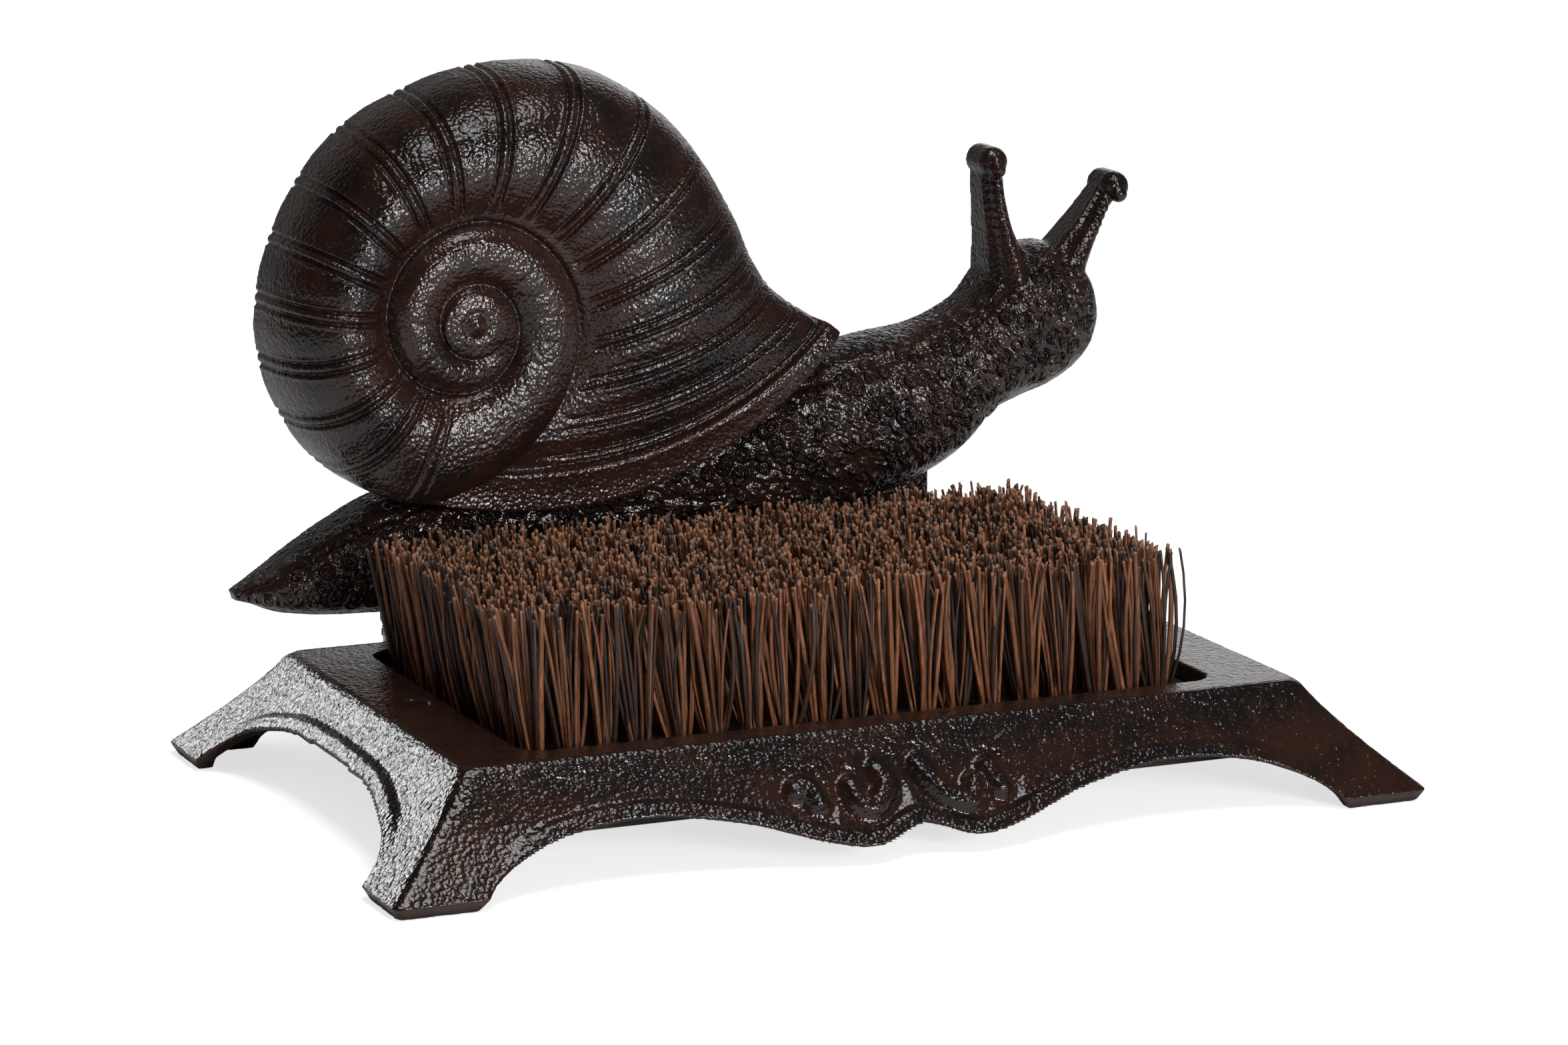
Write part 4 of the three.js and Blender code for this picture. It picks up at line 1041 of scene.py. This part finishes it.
def spire_profile(turn, across, inner, outer):
    """Rounded rise between two sutures, which becomes the side of the dome at the inner end."""
    bulge = (1 - np.abs(2 * across - 1) ** WHORL_ROUNDNESS) ** (1 / WHORL_ROUNDNESS)
    crest = min(SPIRE_CREST - SUTURE_DEPTH, 0.6 * math.dist(inner, outer))
    floor = suture_rise(turn - 360) * (1 - across) + suture_rise(turn) * across
    rise = floor + np.maximum(crest - floor, 0.5) * bulge
    foot_radius = math.dist(outer, COIL_CENTRE)
    radius = DOME_RADIUS + (foot_radius - DOME_RADIUS) * across
    end = float(ease(-turn, -RING_TURN, -RING_TURN + DOME_BLEND))
    return rise + (dome_rise(radius, foot_radius + 0.05) - rise) * end


def spire():
    """Inner turns of the shell, which wind down to the dome in the middle."""
    across = np.linspace(0, 1, 48)
    rings = []
    for turn in np.arange(SPIRE_START, SPIRE_END + 0.01, 1.0):
        inner = coil_point(turn - 360)
        outer = inner + (coil_point(turn) - inner) * SPIRE_INSET
        flat = inner + across[:, None] * (outer - inner)
        rise = spire_profile(turn, across, inner, outer)
        phase = abs(turn % GROOVE_PITCH - GROOVE_PITCH / 2)
        ribs = -RIB_DEPTH * bell(phase, 0, RIB_WIDTH) * np.sin(math.pi * across)
        ribs *= 1 - float(ease(turn, SPIRE_END - 30, SPIRE_END))
        rings.append(np.c_[flat[:, 0], -(SUTURE_DEPTH + rise + ribs), flat[:, 1]])
    return loft("spire", stand_on_back(np.array(rings)))


def dome():
    """Rounded middle of the shell with a small boss in a shallow ring."""
    levels = [np.insert(circle(COIL_CENTRE, DOME_RADIUS), 1, 0.0, axis=1)]
    for radius in DOME_RADIUS * np.sin(np.linspace(math.pi / 2, 0.02, 30)):
        depth = SUTURE_DEPTH + dome_rise(radius, DOME_SPREAD)
        depth += BOSS_RISE * bell(radius, 0, BOSS_RADIUS)
        depth -= BOSS_RING_DEPTH * bell(radius, BOSS_RING_RADIUS, 1.0)
        levels.append(np.insert(circle(COIL_CENTRE, radius), 1, -depth, axis=1))
    return loft("dome", levels)


def body_sheet(steps, sides):
    """Front sheet of the body from the tail to the face."""
    last = len(BODY_STATIONS) - 1
    rows = [(i, *station) for i, station in enumerate(BODY_STATIONS)]
    place = np.linspace(0, last, steps)
    top = np.c_[along(rows, place, 1), along(rows, place, 2)]
    under = np.c_[along(rows, place, 3), along(rows, place, 4)]
    depth = along(rows, place, 5)
    angle = np.linspace(0, math.pi, sides)
    wide = np.sign(np.cos(angle)) * np.abs(np.cos(angle)) ** (2 / BODY_ROUNDNESS)
    deep = np.abs(np.sin(angle)) ** (2 / BODY_ROUNDNESS)
    middle, half = (top + under) / 2, (top - under) / 2
    flat = middle[:, None, :] + half[:, None, :] * wide[None, :, None]
    out = EDGE_LAND + (depth[:, None] - EDGE_LAND) * deep[None, :]
    return np.stack([flat[..., 0], -out, flat[..., 1]], axis=-1), place, angle


def wart_relief(sheet, sizes):
    """Ringed warts scattered over the front of the body."""
    seeds = np.random.default_rng(8)
    spacing = sizes.wart_spacing / MM
    flat = sheet.reshape(-1, 3)
    low, high = flat.min(axis=0), flat.max(axis=0)
    skin = point_tree(flat)
    centres = []
    row = 0
    z = low[2]
    while z < high[2]:
        x = low[0] + (row % 2) * spacing / 2
        while x < high[0]:
            jitter = seeds.uniform(-WART_JITTER, WART_JITTER, 2) * spacing
            spot = skin.find((x + jitter[0], low[1], z + jitter[1]))[0]
            if abs(spot[0] - x) < spacing and abs(spot[2] - z) < spacing:
                centres.append((*spot, seeds.uniform(0.6, 1.15)))
            x += spacing
        z += spacing * 0.8
        row += 1
    warts = point_tree(centres)
    nearest, gaps = zip(*(warts.find(point)[1:] for point in flat))
    scale = np.array(centres)[list(nearest), 3]
    away = np.array(gaps) / scale
    relief = scale * (bell(away, 0, WART_CORE) + 0.6 * bell(away, WART_RING, 0.5))
    return relief.reshape(sheet.shape[:2])


def body(sizes):
    """Body with its warts, the crease along its top and the sole along its foot."""
    sheet, place, angle = body_sheet(520, 110)
    inside = (sheet[:, :1, :] + sheet[:, -1:, :]) / 2
    normals = sheet_normals(sheet, inside)
    front, ends = (ease(where, *rise) * (1 - ease(where, *fall)) for where, (rise, fall) in
                   ((angle, WART_ANGLES), (place, WART_STATIONS)))
    front, ends = front[None, :], ends[:, None]
    warts = wart_relief(sheet, sizes) * front * ends * sizes.wart / MM
    crease = -BODY_LINE_DEPTH * bell(angle, *BODY_CREASE)[None, :] * ends
    sole = BODY_LINE_DEPTH * bell(angle, *BODY_SOLE)[None, :] * ends
    step = BODY_STEP * front * ends
    sheet = sheet + normals * (warts + crease + sole + step)[:, :, None]
    sheet[:, 0, 1] = sheet[:, -1, 1] = 0
    return loft("body", sheet)


def tentacle(sections):
    """Fin with a beaded ridge in front, a knob and an eye."""
    rows = [(i, *section) for i, section in enumerate(sections)]
    place = np.linspace(0, len(sections) - 1, 110)
    x, z, half, depth = (along(rows, place, field) for field in (1, 2, 3, 4))
    run = unit_rows(np.stack([np.gradient(x), np.gradient(z)], axis=1))
    travel = np.concatenate([[0], np.cumsum(np.hypot(np.diff(x), np.diff(z)))])
    share = np.linspace(0, 1, 40)
    ridge = ease(share, RIDGE_START - 0.1, RIDGE_START)
    tip = np.clip(share - RIDGE_START, 0, 1) / (1 - RIDGE_START)
    width = (1 - ridge) + ridge * RIDGE_WIDTH * np.sqrt(np.clip(1 - tip ** 2, 0, 1))
    rings = []
    for i in range(len(place)):
        bead = BEAD_SWELL * math.sin(travel[i] * 2 * math.pi / BEAD_PITCH)
        out = share * depth[i] * (1 + bead * ridge)
        sides = []
        for hand in (-1, 1):
            offset = hand * half[i] * width * (1 + bead * 2 * ridge)
            points = np.c_[x[i] + run[i, 1] * offset, -out, z[i] - run[i, 0] * offset]
            sides.append(points if hand < 0 else points[::-1])
        rings.append(np.vstack(sides))
    knob = (x[-1] + run[-1, 0] * KNOB_LENGTH, z[-1] + run[-1, 1] * KNOB_LENGTH)
    return [
        loft("tentacle", rings),
        prism("knob", circle(knob, KNOB_RADIUS), -KNOB_DEPTH, 0, "xz"),
        ball("knob", (knob[0], -KNOB_DEPTH, knob[1]), KNOB_RADIUS),
        ball("eye", (knob[0], -KNOB_DEPTH - KNOB_RADIUS * 0.8, knob[1] - 2), EYE_RADIUS),
    ]


def lug_outline(x, hand, height):
    """Upright lug with rounded lower corners and its longer arm towards the middle."""
    arms = LUG_ARMS if hand < 0 else LUG_ARMS[::-1]
    left, right = x - arms[0], x + arms[1]
    r, level = LUG_CORNER, SEAT_GAP + LUG_CORNER
    first, second = np.linspace(math.pi, 1.5 * math.pi, 8), np.linspace(-math.pi / 2, 0, 8)
    return np.vstack([[left, height],
                      np.c_[left + r + r * np.cos(first), level + r * np.sin(first)],
                      np.c_[right - r + r * np.cos(second), level + r * np.sin(second)],
                      [right, height]])


def lugs():
    """Lugs below the snail, each with a flange on an ear of the frame."""
    made = []
    reach = BOLT_Y - SNAIL_BACK_Y
    for x, hand, height in zip(LUG_XS, (-1, 1), LUG_HEIGHTS):
        made.append(prism("lug", lug_outline(x, hand, height), -LUG_THICKNESS, 0, "xz"))
        tip = circle((x, reach), FLANGE_RADIUS)
        root = [[x - FLANGE_ROOT, -2], [x + FLANGE_ROOT, -2]]
        hull = np.vstack([tip[tip[:, 1] >= reach - 0.5], root])
        made.append(prism("flange", hull, SEAT_GAP, SEAT_GAP + FLANGE_THICKNESS))
    return made


def soften_roots(piece):
    """Runs the roots of the tentacles smoothly into the head."""
    points = read_points(piece.data)
    weight = np.zeros(len(points))
    for sections in (LEFT_TENTACLE, RIGHT_TENTACLE):
        x, z = sections[1][:2]
        away = np.hypot(points[:, 0] - x, points[:, 2] - z)
        weight = np.maximum(weight, 1 - ease(away, *ROOT_REACH))
    weight *= 1 - ease(points[:, 1], *ROOT_LEVELS)
    group = piece.vertex_groups.new(name="roots")
    for level in range(1, 11):
        chosen = np.flatnonzero(np.round(weight * 10) == level).tolist()
        group.add(chosen, level / 10, "REPLACE")
    smooth = piece.modifiers.new("roots", "SMOOTH")
    smooth.vertex_group = "roots"
    smooth.factor = 0.5
    smooth.iterations = ROOT_ROUNDING
    settle(piece)


def surface_depths(tree, xs, zs, start, heading):
    """Distance from a plane y = start to the first surface along y, at each place of a grid."""
    depths = np.zeros((len(xs), len(zs)))
    for i, x in enumerate(xs):
        for k, z in enumerate(zs):
            spot = tree.ray_cast(Vector((x, start, z)), Vector((0, heading, 0)))[0]
            if spot is not None:
                depths[i, k] = (spot.y - start) * heading
    return depths


def hollow_back(piece, least_wall):
    """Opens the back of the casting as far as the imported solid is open."""
    mesh = piece.data
    points, normals = read_points(mesh), read_normals(mesh)
    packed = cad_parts["snail_figure"].data
    solid = BVHTree.FromPolygons((read_points(packed) - (0, SNAIL_BACK_Y, FRAME_HEIGHT)).tolist(),
                                 [tuple(p.vertices) for p in packed.polygons])
    own = BVHTree.FromPolygons(points.tolist(), [tuple(p.vertices) for p in mesh.polygons])
    xs, zs = (np.arange(*ends, HOLLOW_STEP) for ends in (HOLLOW_XS, HOLLOW_ZS))
    outside = 40
    hollow = surface_depths(solid, xs, zs, outside, -1) - outside
    front = surface_depths(own, xs, zs, -2 * outside, 1)
    thickness = np.where(front > 0, 2 * outside - front, 0)
    hollow = np.clip(np.minimum(hollow, thickness - least_wall), 0, None)
    for _ in range(2):
        hollow = (hollow + np.roll(hollow, 1, 0) + np.roll(hollow, -1, 0)
                  + np.roll(hollow, 1, 1) + np.roll(hollow, -1, 1)) / 5
    back = (points[:, 1] > -0.4) & (normals[:, 1] > 0.6)
    i = (points[back, 0] - xs[0]) / HOLLOW_STEP
    k = (points[back, 2] - zs[0]) / HOLLOW_STEP
    i0, k0 = np.clip(i.astype(int), 0, len(xs) - 2), np.clip(k.astype(int), 0, len(zs) - 2)
    di, dk = i - i0, k - k0
    points[back, 1] -= (hollow[i0, k0] * (1 - di) * (1 - dk) + hollow[i0 + 1, k0] * di * (1 - dk)
                        + hollow[i0, k0 + 1] * (1 - di) * dk + hollow[i0 + 1, k0 + 1] * di * dk)
    write_points(mesh, points)


def zone_samples(pieces, zone, warts=0.0):
    """Every third point of the unmerged pieces with its roughness and its share of warts."""
    found = []
    for piece in pieces:
        points = read_points(piece.data)
        zones = np.full(len(points), zone, np.float32)
        if "zone" in piece.data.attributes:
            piece.data.attributes["zone"].data.foreach_get("value", zones)
        found.append(np.c_[points, zones, np.full(len(points), warts)][::3])
    return np.vstack(found)


def spread_zones(points, samples):
    """The values of the nearest sample for each point."""
    tree = point_tree(samples)
    return np.array([samples[tree.find(point)[1], 3:] for point in points])


class DOORMAT_OT_snail_casting(bpy.types.Operator):
    """Build the cast snail with its shell, warts, tentacles and lugs"""

    bl_idname = "doormat.snail_casting"
    bl_label = "Snail Casting"

    def execute(self, context):
        sizes = context.scene.doormat_snail
        shell_parts = [last_whorl(sizes), spire(), dome()]
        body_parts = [body(sizes)]
        head_parts = tentacle(LEFT_TENTACLE) + tentacle(RIGHT_TENTACLE)
        lug_parts = lugs()
        samples = np.vstack([zone_samples(shell_parts, SHELL_ROUGH),
                             zone_samples(body_parts, BODY_ROUGH, 1.0),
                             zone_samples(head_parts, HEAD_ROUGH),
                             zone_samples(lug_parts, LUG_ROUGH)])
        casting = merge("snail_casting", shell_parts + body_parts + head_parts + lug_parts)
        recast(casting, sizes.voxel, SNAIL_ROUNDING)
        soften_roots(casting)
        hollow_back(casting, sizes.wall / MM)
        unevenness(casting, *SNAIL_SKIN)
        points = read_points(casting.data)
        zones = spread_zones(points, samples)
        give_values(casting.data, "rough_zone", zones[:, 0])
        give_values(casting.data, "warts", zones[:, 1])
        points += (0, SNAIL_BACK_Y, FRAME_HEIGHT)
        write_points(casting.data, points)
        keep_in_box(casting, "snail_figure")
        finish_piece(casting, bpy.data.materials["snail_iron"], ["snail_figure"])
        return {"FINISHED"}


# Brush


def fibre_mesh(roots, tips, bends, radii, shades):
    """Bent tapering rods with slanted cut ends, one for each root."""
    steps = np.array(FIBRE_STEPS)
    count, sides, block = len(roots), FIBRE_SIDES, len(FIBRE_STEPS) * FIBRE_SIDES
    t = steps[None, :, None]
    centre = roots[:, None] + (tips - roots)[:, None] * t + bends[:, None] * 4 * t * (1 - t)
    angle = np.arange(sides) * 2 * math.pi / sides
    spin = (shades * 37.0)[:, None] + angle[None, :]
    ring = np.stack([np.cos(spin), np.sin(spin), np.zeros_like(spin)], axis=-1)
    ring[..., 1] *= FIBRE_FLATNESS
    taper = (1.0 - FIBRE_TAPER * steps)[None, :, None, None]
    points = centre[:, :, None, :] + ring[:, None] * radii[:, None, None, None] * taper
    points[:, -1, :, 2] += 0.5 * np.sin(spin + (shades * 91)[:, None]) * radii[:, None]
    faces = []
    for k in range(len(steps) - 1):
        for j in range(sides):
            a, b = k * sides + j, k * sides + (j + 1) % sides
            faces.append((a, b, b + sides, a + sides))
    starts = np.arange(count) * block
    quads = (np.array(faces)[None] + starts[:, None, None]).reshape(-1, 4)
    caps = np.arange(block - sides, block)[None] + starts[:, None]
    piece = make_mesh("brush_fibres", points.reshape(-1, 3), quads.tolist() + caps.tolist())
    give_values(piece.data, "along", np.tile(np.repeat(steps, sides), count))
    give_values(piece.data, "shade", np.repeat(shades, block))
    return piece


class DOORMAT_OT_brush_fibres(bpy.types.Operator):
    """Build the fibres of the brush, tuft by tuft, and the layer that holds them"""

    bl_idname = "doormat.brush_fibres"
    bl_label = "Brush Fibres"

    def execute(self, context):
        sizes = context.scene.doormat_brush
        seeds = np.random.default_rng(21)
        xs = np.linspace(*TUFT_XS, sizes.tufts_long)
        ys = np.linspace(*TUFT_YS, sizes.tufts_wide)
        centres = np.array([(x, y) for x in xs for y in ys], float)
        centres += seeds.uniform(-TUFT_SCATTER, TUFT_SCATTER, centres.shape)
        count = len(centres) * sizes.fibres
        tuft = np.repeat(centres, sizes.fibres, axis=0)
        turn = seeds.uniform(0, 2 * math.pi, count)
        out = np.sqrt(seeds.uniform(0, 1, count))
        offset = np.c_[np.cos(turn), np.sin(turn)] * out[:, None]
        roots = np.c_[tuft + offset * TUFT_RADIUS, np.full(count, BOARD_TOP - ROOT_SINK)]
        spread = np.array([xs[1] - xs[0], ys[1] - ys[0]]) * TUFT_SPREAD
        tips = np.c_[tuft + offset * spread + seeds.normal(0, TIP_SCATTER, (count, 2)),
                     FRAME_HEIGHT + sizes.reach / MM + seeds.normal(0, HEIGHT_SCATTER, count)]
        tips[:, 0] -= BRUSH_LEAN
        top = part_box("bristles_4")[1][2] / MM
        tips[:, 2] = np.minimum(tips[:, 2], top - TIP_CLEARANCE)
        bends = np.c_[seeds.normal(0, BEND_SCATTER, (count, 2)), np.zeros(count)]
        radii = seeds.normal(sizes.radius / MM, RADIUS_SCATTER, count).clip(*RADIUS_LIMITS)
        shades = seeds.uniform(0, 1, count)
        fibres = fibre_mesh(roots, tips, bends, radii, shades)
        finish_piece(fibres, bpy.data.materials["palm_fibre"],
                     [f"bristles_{i}" for i in range(1, 5)])
        layer = prism("tuft_layer", rounded_outline(*BOARD_HALF, BOARD_CORNER),
                      BOARD_TOP - LAYER_THICKNESS, BOARD_TOP)
        finish_piece(layer, bpy.data.materials["stained_wood"])
        layer.data.shade_flat()
        return {"FINISHED"}


class DOORMAT_OT_carried_pieces(bpy.types.Operator):
    """Give the wooden back and the fasteners their edges and finishes"""

    bl_idname = "doormat.carried_pieces"
    bl_label = "Back and Fasteners"

    def execute(self, context):
        for name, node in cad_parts.items():
            if node.hide_render:
                continue
            wooden = name == "brush_board"
            painted = name.startswith("brush_screw")
            finish = "stained_wood" if wooden else "frame_iron" if painted else "black_steel"
            node.data.materials.clear()
            node.data.materials.append(bpy.data.materials[finish])
            edge = node.modifiers.new("edge", "BEVEL")
            edge.width = WOOD_EDGE if wooden else STEEL_EDGE
            edge.segments = 2
            edge.limit_method = "ANGLE"
        return {"FINISHED"}


# Stage


def turned(direction):
    """Rotation of a lamp or camera that looks in a direction."""
    return direction.to_track_quat("-Z", "Y").to_euler()


def soft_light(name, place, aim, size, power):
    """Rectangular lamp in metres and watts that looks at its aim."""
    lamp = bpy.data.lights.new(name, "AREA")
    lamp.shape = "RECTANGLE"
    lamp.size, lamp.size_y = size
    lamp.energy = power
    light = bpy.data.objects.new(name, lamp)
    light.location = place
    light.rotation_euler = turned(Vector(aim) - Vector(place))
    light.visible_camera = False
    bpy.context.scene.collection.objects.link(light)


def floor_finish(colour):
    """Pale floor that keeps a light shadow round the mat and runs out into white."""
    s = Shader("pale_floor")
    tone = s.blend(s.ramp(s.noise(3, 2), 0.3, 0.7), colour, scaled(colour, 0.985))
    s.feed(s.surface, Base_Color=tone, Roughness=0.9, Specular_IOR_Level=0.0)
    seen = s.add("ShaderNodeLightPath").outputs["Is Camera Ray"]
    glow = s.feed(s.add("ShaderNodeEmission"), Strength=s.maths("MULTIPLY", seen, FLOOR_GLOW))
    near = s.add("ShaderNodeAddShader")
    for socket, shader in zip(near.inputs, (s.surface, glow)):
        s.plug(socket, shader.outputs[0])
    reach = s.feed(s.add("ShaderNodeVectorMath", operation="LENGTH"), Vector=s.place)
    far = s.ramp(reach.outputs["Value"], 0.25, 0.5)
    floor = s.choose(s.maths("MULTIPLY", far, seen), near, s.add("ShaderNodeEmission"))
    s.feed(s.nodes["Material Output"], Surface=floor.outputs[0])
    return s.material


def studio_world():
    """White to the camera and behind the mat, dim elsewhere."""
    world = bpy.data.worlds.new("studio")
    w = NodeWork(world)
    w.nodes.clear()
    rays = w.add("ShaderNodeLightPath").outputs
    place = w.add("ShaderNodeTexCoord").outputs["Generated"]
    split = w.feed(w.add("ShaderNodeSeparateXYZ"), Vector=place).outputs
    behind = w.ramp(split["Y"], 0.6, 0.92, 0.04, 1.0, "LINEAR")
    right = w.ramp(split["X"], 0.28, 0.46, 0.25, 1.6, "LINEAR")
    strengths = (WORLD_DIM, w.maths("MULTIPLY", behind, right), 1.0)
    dim, mirrored, white = (w.feed(w.add("ShaderNodeBackground"), Strength=strength)
                            for strength in strengths)
    gloss = w.maths("MAXIMUM", rays["Is Glossy Ray"], rays["Is Transmission Ray"])
    unseen = w.choose(gloss, dim, mirrored)
    sky = w.choose(rays["Is Camera Ray"], unseen, white)
    w.feed(w.add("ShaderNodeOutputWorld"), Surface=sky.outputs[0])
    return world


class DOORMAT_OT_stage(bpy.types.Operator):
    """Build the floor, the soft lights and the camera"""

    bl_idname = "doormat.stage"
    bl_label = "Stage"

    def execute(self, context):
        stage = context.scene.doormat_stage
        work = bmesh.new()
        bmesh.ops.create_grid(work, x_segments=8, y_segments=8, size=FLOOR_HALF_SIZE)
        mesh = bpy.data.meshes.new("floor")
        work.to_mesh(mesh)
        work.free()
        floor = bpy.data.objects.new("floor", mesh)
        context.scene.collection.objects.link(floor)
        mesh.materials.append(floor_finish(stage.floor))
        context.scene.world = studio_world()
        for name, (place, aim, size) in LAMPS.items():
            soft_light(f"{name}_light", place, aim, size, getattr(stage, name))
        receivers = bpy.data.collections.new("side_light_receivers")
        receivers.objects.link(bpy.data.objects["frame_casting"])
        bpy.data.objects["side_light"].light_linking.receiver_collection = receivers
        lens = bpy.data.cameras.new("camera")
        lens.sensor_width = 36
        lens.lens = stage.lens
        camera = bpy.data.objects.new("camera", lens)
        context.scene.collection.objects.link(camera)
        back = Vector((math.sin(stage.azimuth) * math.cos(stage.elevation),
                       -math.cos(stage.azimuth) * math.cos(stage.elevation),
                       math.sin(stage.elevation)))
        camera.location = Vector(CAMERA_AIM) + back * stage.distance
        camera.rotation_euler = turned(-back)
        context.scene.camera = camera
        context.scene.view_settings.view_transform = "Standard"
        return {"FINISHED"}


class DOORMAT_OT_finishes(bpy.types.Operator):
    """Make the finishes of iron, fibre, wood and steel"""

    bl_idname = "doormat.finishes"
    bl_label = "Finishes"

    def execute(self, context):
        f = context.scene.doormat_finishes
        iron_finish("frame_iron", f.iron_brown, f.iron_black, 0.85, 0.34)
        iron_finish("snail_iron", f.iron_brown, f.iron_black, 0.9, 0.5)
        fibre_finish("palm_fibre", f.fibre_copper, f.fibre_dark, f.fibre_tip)
        wood_finish("stained_wood", f.wood)
        steel_finish("black_steel", f.steel)
        return {"FINISHED"}


OPERATORS = (
    DOORMAT_OT_finishes,
    DOORMAT_OT_frame_casting,
    DOORMAT_OT_snail_casting,
    DOORMAT_OT_brush_fibres,
    DOORMAT_OT_carried_pieces,
    DOORMAT_OT_stage,
)

GROUPS = (
    ("doormat_frame", FrameSizes),
    ("doormat_snail", SnailSizes),
    ("doormat_brush", BrushSizes),
    ("doormat_finishes", Finishes),
    ("doormat_stage", StageSettings),
)


class DOORMAT_PT_pieces(bpy.types.Panel):
    """Pieces of the door mat"""

    bl_label = "Door Mat"
    bl_idname = "DOORMAT_PT_pieces"
    bl_space_type = "VIEW_3D"
    bl_region_type = "UI"
    bl_category = "Door Mat"

    def draw(self, context):
        for operator in OPERATORS:
            self.layout.operator(operator.bl_idname)
        for name, group in GROUPS:
            box = self.layout.box()
            for field in group.__annotations__:
                box.prop(getattr(context.scene, name), field)


def register():
    for name, group in GROUPS:
        bpy.utils.register_class(group)
        setattr(bpy.types.Scene, name, PointerProperty(type=group))
    for kind in (*OPERATORS, DOORMAT_PT_pieces):
        bpy.utils.register_class(kind)


def unregister():
    for kind in reversed((*OPERATORS, DOORMAT_PT_pieces)):
        bpy.utils.unregister_class(kind)
    for name, group in reversed(GROUPS):
        delattr(bpy.types.Scene, name)
        bpy.utils.unregister_class(group)


def main():
    register()
    bpy.ops.doormat.finishes()
    bpy.ops.doormat.frame_casting()
    bpy.ops.doormat.snail_casting()
    bpy.ops.doormat.brush_fibres()
    bpy.ops.doormat.carried_pieces()
    bpy.ops.doormat.stage()


if __name__ == "__main__":
    main()
